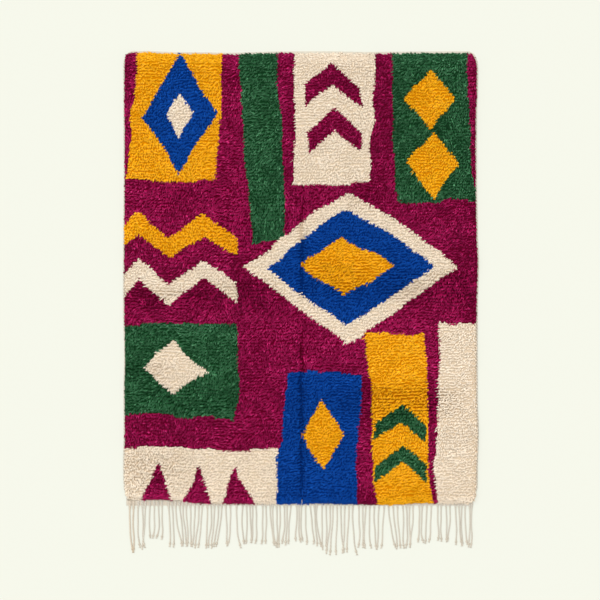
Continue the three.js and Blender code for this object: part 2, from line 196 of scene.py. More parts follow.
class ShaderBoard:
    """The nodes of one material, laid and linked by calls."""

    def __init__(self, name: str) -> None:
        """Starts an empty material.

        Args:
            name: The material's name.
        """
        self.material = bpy.data.materials.new(name)
        self.material.use_nodes = True
        self.tree = self.material.node_tree
        self.tree.nodes.clear()

    def node(self, kind: str, settings: dict | None = None, sockets: dict | None = None) -> bpy.types.Node:
        """Adds a node, sets it up and then fills its sockets.

        Args:
            kind: The node's type.
            settings: The node's own settings, such as a Math node's operation.
            sockets: A value or a link for each input, by its name or number.

        Returns:
            The new node.
        """
        made = self.tree.nodes.new(kind)
        for name, value in (settings or {}).items():
            setattr(made, name, value)
        for name, value in (sockets or {}).items():
            if isinstance(value, Socket):
                self.tree.links.new(value.end, made.inputs[name])
            else:
                made.inputs[name].default_value = value
        return made

    def math(self, operation: str, *values: Value) -> Socket:
        """The result of one Math node on numbers or links, in order."""
        made = self.node("ShaderNodeMath", {"operation": operation}, dict(enumerate(values)))
        return Socket(self, made.outputs[0])

    def wave(self, turns: Socket) -> Socket:
        """A wave from 0 to 1, once for every turn."""
        return 0.5 + 0.5 * self.math("SINE", math.tau * turns)

    def mix(self, share: Value, first: object, second: object, how: str = "MIX") -> Socket:
        """Mixes two colours.

        Args:
            share: How much of the second colour there is.
            first: A colour or the link to one.
            second: A colour or the link to one.
            how: The way of mixing.

        Returns:
            The mixed colour.
        """
        settings = {"data_type": "RGBA", "blend_type": how, "clamp_factor": True}
        made = self.node("ShaderNodeMix", settings, {0: share, 6: first, 7: second})
        return Socket(self, made.outputs[2])

    def lit(self, colour: Socket, light: Socket) -> Socket:
        """A colour made lighter or darker, as many times as the light says."""
        return self.mix(1.0, colour, self.joined(light, light, light), "MULTIPLY")

    def ramp(self, value: Value, low: float, high: float, start: float = 0.0, end: float = 1.0) -> Socket:
        """Maps a number smoothly from one range to another.

        Args:
            value: The number.
            low: Where the range starts.
            high: Where the range ends.
            start: The result at its start.
            end: The result at its end.

        Returns:
            The mapped number.
        """
        sockets = dict(enumerate((value, low, high, start, end)))
        made = self.node("ShaderNodeMapRange", {"interpolation_type": "SMOOTHSTEP"}, sockets)
        return Socket(self, made.outputs[0])

    def attribute(self, name: str, coloured: bool = False) -> Socket:
        """The mesh's attribute of that name, as a colour or as a number."""
        made = self.node("ShaderNodeAttribute", {"attribute_name": name})
        return Socket(self, made.outputs["Color" if coloured else "Fac"])

    def parts(self, place: Socket) -> list[Socket]:
        """The place across, along and up, as three numbers."""
        return [Socket(self, end) for end in self.node("ShaderNodeSeparateXYZ", None, {0: place}).outputs]

    def yarn_place(self) -> list[Socket]:
        """The place round the yarn, in turns, and the place along it."""
        place = self.node("ShaderNodeUVMap", {"uv_map": YARN_MAP})
        return self.parts(Socket(self, place.outputs[0]))[:2]

    def object_place(self) -> Socket:
        """The place on the object, in metres."""
        return Socket(self, self.node("ShaderNodeTexCoord").outputs["Object"])

    def joined(self, x: Value, y: Value, z: Value) -> Socket:
        """Three numbers as one place, or as one colour."""
        return Socket(self, self.node("ShaderNodeCombineXYZ", None, {0: x, 1: y, 2: z}).outputs[0])

    def noise(self, place: Socket, scale: float) -> Socket:
        """Soft noise from 0 to 1, whose scale is its lumps to a metre of place."""
        sockets = {"Vector": place, "Scale": scale, "Detail": 3.0, "Roughness": 0.55}
        return Socket(self, self.node("ShaderNodeTexNoise", None, sockets).outputs["Fac"])

    def bump(self, height: Socket, depth: float, strength: float = 1.0) -> Socket:
        """The normal of a surface raised by a height, where a height of 1 is the depth in metres."""
        sockets = {"Strength": strength, "Distance": depth, "Height": height}
        return Socket(self, self.node("ShaderNodeBump", None, sockets).outputs[0])

    def finish(
        self, colour: object, roughness: Value, normal: Socket | None = None,
        specular: float = 0.1, glow: float = 0.0,
    ) -> bpy.types.Material:
        """Makes the surface from its colour, roughness and normal.

        Args:
            colour: The base colour or the link to it.
            roughness: The roughness or the link to it.
            normal: The normal, if the surface has any relief.
            specular: How strong its plain gloss is.
            glow: How strongly the surface shines by itself, in its own colour.

        Returns:
            The finished material.
        """
        sockets = {"Base Color": colour, "Roughness": roughness, "Specular IOR Level": specular}
        if glow:
            sockets.update({"Emission Color": colour, "Emission Strength": glow})
        if normal is not None:
            sockets["Normal"] = normal
        skin = self.node("ShaderNodeBsdfPrincipled", None, sockets)
        self.node("ShaderNodeOutputMaterial", None, {0: Socket(self, skin.outputs[0])})
        return self.material


class Wool(Enum):
    """The dyed wools of the pile, each by its slot in the record."""

    PLUM = "plum_wool"
    SAFFRON = "saffron_wool"
    CREAM = "cream_wool"
    GREEN = "green_wool"
    BLUE = "blue_wool"


@dataclass(frozen=True)
class WoolFinish:
    """A hand-spun wool, painted darker towards its roots as shade down in the pile, full in the middle, and
    paler at its tips as a painted highlight.
    """

    wool: Wool
    # the colour at a lock's root: painted shade, where the pile shades itself
    deep: Colour
    body: Colour
    # the colour that its tips turn to: a painted highlight on the top of the pile
    tip: Colour
    uneven: float  # how far single locks are lighter or darker, as a share
    fibre: float  # and how far the fibres within a lock are
    plies: float = 3.2  # twists along a lock
    fuller: tuple[float, float] = (0.12, 0.62)  # from where to where along it the painted root shade gives way to its full colour
    paler: tuple[float, float] = (0.45, 1.0)  # and where it turns to the painted highlight of its tip
    fibre_scale: float = 3.4  # lumps of the fibres' noise to a lock's radius
    own_fibres: tuple[float, float] = (37.0, 19.0)  # how far a lock's tone moves it in that noise
    stretch: float = 1.3  # the noise that a lock runs through from root to tip
    relief: float = 0.7 * MM

    def material(self) -> bpy.types.Material:
        """Makes the wool's material.

        Returns:
            A material for the locks of this wool.
        """
        board = ShaderBoard(self.wool.value)
        along, tone = board.attribute("along"), board.attribute("tone")
        turn, run = board.yarn_place()
        place = board.joined(
            board.math("COSINE", math.tau * turn) + tone * self.own_fibres[0],
            board.math("SINE", math.tau * turn) + tone * self.own_fibres[1],
            run * self.stretch,
        )
        fibres = board.noise(place, self.fibre_scale)
        # painted shade: darker towards the root, down in the pile
        colour = board.mix(board.ramp(along, *self.fuller), linear(self.deep), linear(self.body))
        # painted highlight: paler towards the tip, more so on locks of a lighter tone
        pale = board.math("MAXIMUM", 0.55 + tone * 0.5, 0.0)
        colour = board.mix(board.ramp(along, *self.paler) * pale, colour, linear(self.tip))
        colour = board.lit(colour, 1.0 + tone * self.uneven + (fibres - 0.5) * self.fibre)
        relief = board.wave(turn * 2.0 + run * self.plies) * 0.6 + fibres * 0.9
        return board.finish(colour, 0.86 + fibres * 0.1, board.bump(relief, self.relief, 0.8))


# Each wool: the painted shade at its roots, its own colour, the painted highlight at its tips, then how
# uneven its locks and its fibres are.
WOOLS = {
    finish.wool: finish
    for finish in (
        WoolFinish(Wool.PLUM, (0.41, 0.00, 0.150), (0.56, 0.00, 0.25), (0.70, 0.19, 0.42), 0.44, 0.44),
        WoolFinish(Wool.SAFFRON, (0.89, 0.56, 0.00), (0.98, 0.70, 0.04), (0.98, 0.77, 0.24), 0.13, 0.20),
        WoolFinish(Wool.CREAM, (0.93, 0.845, 0.73), (0.98, 0.915, 0.825), (0.985, 0.94, 0.87), 0.06, 0.12),
        WoolFinish(Wool.GREEN, (0.07, 0.24, 0.12), (0.145, 0.355, 0.21), (0.34, 0.52, 0.39), 0.46, 0.44),
        WoolFinish(Wool.BLUE, (0.00, 0.19, 0.48), (0.00, 0.26, 0.61), (0.10, 0.35, 0.69), 0.18, 0.22),
    )
}


@dataclass(frozen=True)
class WeaveFinish:
    """The ground weave: undyed wool with the backs of the knots in their own wools below, and on top the foot
    of the pile in painted root shade.
    """

    warp_gap: float = 6.3 * MM
    weft_gap: float = 5.2 * MM
    bare: Colour = (0.80, 0.75, 0.66)
    bare_share: float = 0.45  # how much of it shows between the rows of knots
    wear_scale: float = 240.0  # lumps of its wear to a metre
    relief: float = 1.2 * MM

    def material(self) -> bpy.types.Material:
        """Makes the weave's material.

        Returns:
            A material for both faces of the ground weave.
        """
        board = ShaderBoard("ground_weave")
        across, along, _ = board.parts(board.object_place())
        under = board.attribute("under")
        rows = board.wave(along * (1.0 / self.weft_gap))
        beads = board.wave(across * (1.0 / self.warp_gap)) * rows * under
        wear = board.noise(board.object_place(), self.wear_scale)
        shown = (1.0 - rows) * self.bare_share * under
        colour = board.mix(shown, board.attribute("knot_back_and_foot_shade", True), linear(self.bare))
        # painted shade: lighter on the crowns of the beads and darker between them, with uneven wear
        colour = board.lit(colour, 0.85 + beads * 0.2 + (wear - 0.5) * 0.4)
        return board.finish(colour, 0.92, board.bump(beads + wear * 0.3, self.relief), DULL)


@dataclass(frozen=True)
class StripFinish:
    """The flat-woven strip at the fringed end, ribbed by its packed wefts."""

    colour: Colour = (0.93, 0.888, 0.818)
    # the painted shade between its ribs, and in the wool's uneven mottling
    dark: Colour = (0.70, 0.65, 0.57)
    warp_gap: float = 4.2 * MM
    slant: float = 143.24  # how many warps further its ribs are, a metre along
    wool_scale: float = 260.0  # lumps of its wool to a metre
    lighter: tuple[float, float] = (0.30, 0.95)  # heights between which it turns light
    relief: float = 0.8 * MM

    def material(self) -> bpy.types.Material:
        """Makes the strip's material.

        Returns:
            A material for the woven strip.
        """
        board = ShaderBoard("woven_strip")
        across, along, _ = board.parts(board.object_place())
        crowns = board.wave(across * (1.0 / self.warp_gap) + along * self.slant)
        wool = board.noise(board.object_place(), self.wool_scale)
        # painted shade: dark between the ribs, light on their crowns, mottled by the wool's own unevenness
        shade = board.ramp(crowns * 0.5 + wool * 0.9, *self.lighter)
        colour = board.mix(shade, linear(self.dark), linear(self.colour))
        return board.finish(colour, 0.93, board.bump(crowns + wool * 0.8, self.relief), DULL)


@dataclass(frozen=True)
class WarpFinish:
    """Undyed plied warp yarn, a little greyer in the grooves between its plies as painted shade, and tanner
    at its ends.
    """

    name: str = "undyed_warp"
    colour: Colour = (0.945, 0.92, 0.86)
    groove_shade: Colour = (0.73, 0.68, 0.61)
    tan: Colour = (0.85, 0.77, 0.66)
    turns: float = 9.0  # of the plies along a strand
    light: float = 0.775
    plied_to: float = 0.88  # how far along a strand its plies show in full
    stained_from: float = 0.72  # and where it starts to turn tan
    wool_scale: float = 420.0  # lumps of its wool to a metre
    relief: float = 0.8 * MM

    def material(self) -> bpy.types.Material:
        """Makes the warp's material.

        Returns:
            A material for the strands and their knots.
        """
        board = ShaderBoard(self.name)
        along, tone = board.attribute("along"), board.attribute("tone")
        turn, run = board.yarn_place()
        plies = board.wave(turn * 2.0 + run * (self.turns * 2.0))
        wool = board.noise(board.object_place(), self.wool_scale)
        knotted = board.ramp(along, self.plied_to, KNOT_ALONG, 0.0, 0.8)
        # painted shade in the grooves between the plies, fading out at the knot
        filled = board.math("MAXIMUM", board.ramp(plies, 0.0, 0.55), knotted)
        colour = board.mix(filled, linear(self.groove_shade), linear(self.colour))
        stain = board.ramp(along, self.stained_from, 1.0) * 0.35 + board.ramp(tone, 0.2, 1.0) * 0.5
        colour = board.mix(stain, colour, linear(self.tan))
        colour = board.lit(colour, self.light + tone * 0.05 + (wool - 0.5) * 0.35)
        calm = board.ramp(along, self.plied_to, 0.92, 1.0, 0.12)
        return board.finish(colour, 0.9, board.bump((plies + wool * 0.5) * calm, self.relief), DULL)


@dataclass(frozen=True)
class FloorFinish:
    """The plain pale floor, which glows by itself as painted light, as if lit from below, so that shadows on
    it stay faint.
    """

    colour: Colour = (0.866, 0.871, 0.826)
    glow: float = 0.60  # the share of its brightness that it gives off by itself, as painted light
    light: float = 1.285  # what falls on it from above

    def material(self) -> bpy.types.Material:
        """Makes the floor's plain, matt material."""
        dimmed = tuple(part * (1.0 - self.glow) for part in linear(self.colour)[:3]) + (1.0,)
        return ShaderBoard("pale_floor").finish(dimmed, 0.95, glow=self.light * self.glow / (1.0 - self.glow))


class SoftNoise:
    """Smooth, seeded unevenness from -1 to 1 over a flat surface."""

    CELLS = 97
    MIDDLE = (31.7, 43.3)  # the place among its cells of the rug's origin

    def __init__(self, seed: int, span_x: float, span_y: float | None = None) -> None:
        """Draws the values between which the noise runs.

        Args:
            seed: The seed of the draw.
            span_x: The length of one lump across, in metres.
            span_y: The same along the rug, if it differs.
        """
        self.spans = (span_x, span_y or span_x)
        self.values = np.random.default_rng(seed).uniform(-1.0, 1.0, (self.CELLS, self.CELLS))

    def at(self, x: Floats, y: Floats) -> Floats:
        """Reads the noise.

        Args:
            x: Places across the rug.
            y: Places along it.

        Returns:
            The noise at each place.
        """
        across, along = x / self.spans[0] + self.MIDDLE[0], y / self.spans[1] + self.MIDDLE[1]
        left, low = np.floor(across).astype(int), np.floor(along).astype(int)
        share_x, share_y = eased(across - left), eased(along - low)
        columns, next_columns = left % self.CELLS, (left + 1) % self.CELLS
        under, over = (
            self.values[row, columns] * (1 - share_x) + self.values[row, next_columns] * share_x
            for row in (low % self.CELLS, (low + 1) % self.CELLS)
        )
        return under * (1 - share_y) + over * share_y


class Survey:
    """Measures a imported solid: its surface from above and its outline at a height."""

    FAR = 3.0  # a start well outside the rug

    def __init__(self, node: str) -> None:
        """Readies a solid for measuring.

        Args:
            node: The solid's node.
        """
        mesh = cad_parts[node].data
        points = [vertex.co.copy() for vertex in mesh.vertices]
        self.tree = BVHTree.FromPolygons(points, [tuple(face.vertices) for face in mesh.polygons])

    def tops(self, x: Floats, y: Floats) -> Floats:
        """Measures the height of the surface from above.

        Args:
            x: Places across the rug.
            y: Places along it.

        Returns:
            The height at each place, or 0 beside the solid.
        """
        down = Vector((0.0, 0.0, -1.0))
        hits = (self.tree.ray_cast(Vector((a, b, self.FAR)), down)[0] for a, b in zip(x.flat, y.flat))
        return np.array([hit.z if hit else 0.0 for hit in hits]).reshape(x.shape)

    def edge(self, places: Floats, level: float, heading: tuple[float, float]) -> Floats:
        """Finds the outline where straight lines meet it from outside.

        Args:
            places: Where the lines run, beside their heading.
            level: The height that they run at.
            heading: The way that they run: along x or y, to a rising or falling value.

        Returns:
            The x or y of the outline on each line. A line that misses takes its neighbours'.
        """
        run = Vector((*heading, 0.0))
        found = []
        for place in places:
            start = Vector((abs(heading[1]) * place, abs(heading[0]) * place, level)) - self.FAR * run
            hit = self.tree.ray_cast(start, run)[0]
            found.append(float("nan") if hit is None else hit.x if heading[0] else hit.y)
        met = np.isfinite(found)
        return np.interp(places, places[met], np.array(found)[met])


@dataclass(frozen=True)
class Outline:
    """The outline of a solid at one height, as the place of each side on fine lines."""

    x_lines: Floats
    y_lines: Floats
    left: Floats
    right: Floats
    fringed: Floats
    plain: Floats

    HALF_WIDTH = 0.79  # how far to each side the fringed end is measured
    PLAIN_END = 0.76  # and the plain end
    SIDES = (-0.980, 0.965)  # from where to where the sides are measured
    ROUND = 42.0 * MM  # the radius of the corners at the plain end

    @classmethod
    def measured(cls, survey: Survey, level: float) -> "Outline":
        """Measures the outline of a solid, the plain end and the sides up to their round corners.

        Args:
            survey: The solid.
            level: The height of the outline.

        Returns:
            The outline.
        """
        x_lines = np.linspace(-cls.HALF_WIDTH, cls.HALF_WIDTH, 160)
        y_lines = np.linspace(*cls.SIDES, 204)
        plain_lines = np.clip(x_lines, -cls.PLAIN_END, cls.PLAIN_END)
        return cls(
            x_lines,
            y_lines,
            survey.edge(y_lines, level, (1.0, 0.0)),
            survey.edge(y_lines, level, (-1.0, 0.0)),
            survey.edge(x_lines, level, (0.0, 1.0)),
            survey.edge(plain_lines, level, (0.0, -1.0)),
        )

    def sides_at(self, y: Floats) -> tuple[Floats, Floats]:
        """The x of the left side and of the right side at places along the rug."""
        return np.interp(y, self.y_lines, self.left), np.interp(y, self.y_lines, self.right)

    def ends_at(self, x: Floats) -> tuple[Floats, Floats]:
        """The y of the fringed end and of the plain end at places across the rug."""
        return np.interp(x, self.x_lines, self.fringed), np.interp(x, self.x_lines, self.plain)

    def _in_corner(self, x: Floats, y: Floats) -> tuple[Floats, Floats]:
        """Measures how far places are past the middle of a round corner.

        Args:
            x: Places across the rug.
            y: Places along it.

        Returns:
            How far they are past it to the side and to the plain end, or 0.
        """
        left, right = self.sides_at(y)
        aside = np.maximum(self.ROUND - np.minimum(x - left, right - x), 0.0)
        return aside, np.maximum(self.ROUND - self.ends_at(x)[1] + y, 0.0)

    def past_corner(self, x: Floats, y: Floats) -> Floats:
        """How far places lie outside the round corners, less than 0 inside them."""
        return np.hypot(*self._in_corner(x, y)) - self.ROUND

    def rounded(self, x: Floats, y: Floats) -> tuple[Floats, Floats]:
        """Draws places near the corners of the plain end in, as those corners are round.

        Args:
            x: Places across the rug.
            y: Places along it.

        Returns:
            The x and the y of each place.
        """
        aside, above = self._in_corner(x, y)
        drawn = 1.0 - np.maximum(aside, above) / np.maximum(np.hypot(aside, above), 1.0e-9)
        drawn = np.where((aside > 0.0) & (above > 0.0), drawn, 0.0)
        return x - np.sign(x) * aside * drawn, y - above * drawn

    def placed(self, u: Floats, v: Floats, insets: tuple[float, float, float]) -> tuple[Floats, Floats]:
        """Spreads shares of the width and length over the inside of the outline.

        Args:
            u: Shares across, from 0 at the left to 1 at the right.
            v: Shares along, from 0 at the fringed end to 1 at the plain end.
            insets: How far inside the sides, the fringed end and the plain end to stay.

        Returns:
            The x and the y of each place.
        """
        first = (1 - u) * self.x_lines[0] + u * self.x_lines[-1]
        low, high = self.ends_at(first)
        y = (1 - v) * (low + insets[1]) + v * (high - insets[2])
        left, right = self.sides_at(y)
        return (1 - u) * (left + insets[0]) + u * (right - insets[0]), y


class Shape:
    """A plain shape of the design, which knows the places that it covers."""

    def covers(self, x: Floats, y: Floats) -> Floats:
        """Finds which places lie inside. Each shape says it in its own way.

        Args:
            x: Places across the rug.
            y: Places along it.

        Returns:
            Whether each place lies inside.
        """
        raise NotImplementedError


@dataclass(frozen=True)
class Block(Shape):
    """An upright block, leaning a little."""

    x: float
    y: float
    half_width: float
    half_height: float
    slant: float = 0.0

    def covers(self, x: Floats, y: Floats) -> Floats:
        """Which places lie inside."""
        aside = np.abs(x - self.x - self.slant * (y - self.y))
        return (aside <= self.half_width) & (np.abs(y - self.y) <= self.half_height)


@dataclass(frozen=True)
class Lozenge(Shape):
    """A lozenge standing on its point."""

    x: float
    y: float
    half_width: float
    half_height: float

    def covers(self, x: Floats, y: Floats) -> Floats:
        """Which places lie inside."""
        return np.abs(x - self.x) / self.half_width + np.abs(y - self.y) / self.half_height <= 1.0


@dataclass(frozen=True)
class Zigzag(Shape):
    """A band that runs up and down across the rug."""

    start: float
    end: float
    y: float
    pitch: float
    rise: float
    thick: float

    def covers(self, x: Floats, y: Floats) -> Floats:
        """Finds which places lie inside.

        Args:
            x: Places across the rug.
            y: Places along it.

        Returns:
            Whether each place lies inside.
        """
        turn = (x - self.start) / self.pitch
        middle = self.y + self.rise * (4.0 * np.abs(turn - np.floor(turn + 0.5)) - 1.0)
        return (x >= self.start) & (x <= self.end) & (np.abs(y - middle) <= self.thick / 2.0)


@dataclass(frozen=True)
class Teeth(Shape):
    """A row of triangles that stand on a line, or hang from it where their rise is negative."""

    start: float
    count: int
    y: float
    width: float
    pitch: float
    rise: float

    def covers(self, x: Floats, y: Floats) -> Floats:
        """Finds which places lie inside.

        Args:
            x: Places across the rug.
            y: Places along it.

        Returns:
            Whether each place lies inside.
        """
        number = np.floor((x - self.start) / self.pitch)
        aside = np.abs(x - self.start - (number + 0.5) * self.pitch) / (self.width / 2.0)
        height = (y - self.y) / self.rise
        return (number >= 0) & (number < self.count) & (height >= 0.0) & (aside + height <= 1.0)


@dataclass(frozen=True)
class Chevron(Shape):
    """An arrow without a shaft, its point up, or down where its drop is negative."""

    x: float
    y: float
    half_width: float
    drop: float
    thick: float

    def covers(self, x: Floats, y: Floats) -> Floats:
        """Finds which places lie inside.

        Args:
            x: Places across the rug.
            y: Places along it.

        Returns:
            Whether each place lies inside.
        """
        aside = np.abs(x - self.x)
        middle = self.y - self.drop * aside / self.half_width
        return (aside <= self.half_width) & (np.abs(y - middle) <= self.thick / 2.0)


MOTIFS: tuple[tuple[Wool, Shape], ...] = (
    # The plain end.
    (Wool.SAFFRON, Block(-0.56, 0.76, 0.20, 0.31, 0.06)),
    (Wool.BLUE, Lozenge(-0.55, 0.74, 0.165, 0.25)),
    (Wool.CREAM, Lozenge(-0.55, 0.74, 0.06, 0.095)),
    (Wool.GREEN, Block(-0.17, 0.68, 0.085, 0.50, -0.05)),
    (Wool.CREAM, Block(0.15, 0.78, 0.17, 0.35, 0.04)),
    (Wool.PLUM, Chevron(0.15, 0.93, 0.12, 0.11, 0.09)),
    (Wool.PLUM, Chevron(0.15, 0.72, 0.12, 0.11, 0.09)),
    (Wool.GREEN, Block(0.59, 0.74, 0.18, 0.40, -0.05)),
    (Wool.SAFFRON, Lozenge(0.58, 0.82, 0.125, 0.155)),
    (Wool.SAFFRON, Lozenge(0.60, 0.51, 0.125, 0.155)),
    # The middle.
    (Wool.SAFFRON, Zigzag(-0.85, -0.30, 0.20, 0.28, 0.065, 0.10)),
    (Wool.CREAM, Zigzag(-0.85, -0.30, -0.03, 0.28, 0.065, 0.10)),
    (Wool.CREAM, Lozenge(0.22, 0.05, 0.50, 0.34)),
    (Wool.BLUE, Lozenge(0.22, 0.05, 0.385, 0.26)),
    (Wool.SAFFRON, Lozenge(0.22, 0.05, 0.20, 0.135)),
    # The fringed end.
    (Wool.GREEN, Block(-0.55, -0.42, 0.25, 0.20, -0.05)),
    (Wool.CREAM, Lozenge(-0.55, -0.42, 0.13, 0.12)),
    (Wool.CREAM, Block(-0.50, -0.90, 0.42, 0.15, 0.0)),
    (Wool.PLUM, Teeth(-0.76, 3, -1.06, 0.20, 0.20, 0.24)),
    (Wool.BLUE, Block(0.09, -0.77, 0.17, 0.35, 0.05)),
    (Wool.SAFFRON, Lozenge(0.10, -0.72, 0.095, 0.17)),
    (Wool.SAFFRON, Block(0.45, -0.66, 0.13, 0.42, -0.05)),
    (Wool.GREEN, Chevron(0.45, -0.58, 0.12, 0.10, 0.08)),
    (Wool.GREEN, Chevron(0.46, -0.78, 0.12, 0.10, 0.08)),
    (Wool.CREAM, Block(0.74, -0.64, 0.115, 0.45, 0.02)),
)


class Design:
    """The rug's pattern: plain motifs on a plum ground, each edge a little off its line."""

    ORDER = tuple(Wool)

    def __init__(self) -> None:
        """Draws the weaver's unevenness, in long and short waves."""
        self.drifts = ((SoftNoise(11, 0.36), SoftNoise(12, 0.36), 0.030),
                       (SoftNoise(13, 0.11), SoftNoise(14, 0.11), 0.009))

    def wools(self, x: Floats, y: Floats) -> Floats:
        """Chooses the wool of each knot.

        Args:
            x: The knots' places across the rug.
            y: Their places along it.

        Returns:
            The place of each knot's wool in ORDER.
        """
        drawn_x, drawn_y = x.copy(), y.copy()
        for across, along, reach in self.drifts:
            drawn_x += reach * across.at(x, y)
            drawn_y += reach * along.at(x, y)
        chosen = np.full(x.shape, self.ORDER.index(Wool.PLUM))
        for wool, shape in MOTIFS:
            chosen[shape.covers(drawn_x, drawn_y)] = self.ORDER.index(wool)
        return chosen


@dataclass(frozen=True)
class Knots:
    """The knots of the pile: where each one sits, and its wool."""

    x: Floats
    y: Floats
    wool: Floats

    COLUMNS = 252
    ROWS = 153
    INSETS = (5.0 * MM, 0.5 * MM, -1.5 * MM)  # from the sides, the fringed and the plain end
    LEAST_PILE = 7.0 * MM  # no knot is tied where the solid is lower
    HEM_ROWS = (0.2, 1.0, 1.9)  # rows packed in between the others at either end
    UNEVEN = (1.0 * MM, 2.2 * MM)  # how far a knot lies off its place, across and along

    @classmethod
    def tied(cls, outline: Outline, survey: Survey, design: Design) -> "Knots":
        """Ties the knots row by row inside the rug's outline.

        Args:
            outline: The foot of the pile.
            survey: The solid.
            design: What chooses each knot's wool.

        Returns:
            The knots, as flat lists.
        """
        hem = np.array(cls.HEM_ROWS)
        rows = np.concatenate([np.arange(cls.ROWS) + 0.5, hem, cls.ROWS - hem])
        u, v = np.meshgrid((np.arange(cls.COLUMNS) + 0.5) / cls.COLUMNS, rows / cls.ROWS)
        x, y = outline.rounded(*outline.placed(u, v, cls.INSETS))
        wool = design.wools(x, y)
        rng = np.random.default_rng(22)
        across, along = cls.UNEVEN
        x = x + across * rng.standard_normal(x.shape)
        y = y + along * SoftNoise(21, 0.16, 0.10).at(x, y) + along * rng.standard_normal(x.shape)
        kept = survey.tops(x, y) >= cls.LEAST_PILE
        return cls(x[kept], y[kept], wool[kept])


@dataclass(frozen=True)
class Ripple:
    """A part of the pile whose rows lie parted in ridges, where the rug had been folded."""

    x: float
    y: float
    half_x: float
    half_y: float
    depth: float  # how strongly its rows part, from 0 to 1
    upright: bool = False  # whether its ridges run along the rug

    def strength(self, x: Floats, y: Floats) -> Floats:
        """Reads how strongly the rows part, full in the middle and none past the edges.

        Args:
            x: Places across the rug.
            y: Places along it.

        Returns:
            The strength at each place, from 0 to 1.
        """
        across = eased(1.6 * (1.0 - np.abs(x - self.x) / (1.3 * self.half_x)))
        along = eased(1.6 * (1.0 - np.abs(y - self.y) / (1.3 * self.half_y)))
        return across * along * self.depth


RIPPLES = (
    Ripple(-0.570, -0.095, 0.200, 0.050, 0.8),
    Ripple(-0.245, -0.075, 0.150, 0.080, 0.7),
    Ripple(-0.250, 0.215, 0.160, 0.105, 0.45),
    Ripple(-0.477, 0.385, 0.160, 0.060, 0.45),
    Ripple(0.275, 0.345, 0.080, 0.060, 0.6),
    Ripple(0.168, -0.005, 0.140, 0.085, 0.7),
    Ripple(0.573, -0.042, 0.225, 0.070, 1.0),
    Ripple(-0.690, -0.420, 0.100, 0.040, 0.7),
    Ripple(-0.477, -0.545, 0.230, 0.055, 0.7),
    Ripple(-0.657, -0.865, 0.140, 0.075, 0.6),
    Ripple(0.478, -0.556, 0.235, 0.075, 1.0),
    Ripple(0.155, -0.563, 0.090, 0.040, 0.5),
    Ripple(0.006, 0.148, 0.022, 0.260, 0.9, True),
    Ripple(0.004, -0.628, 0.022, 0.390, 1.0, True),
)


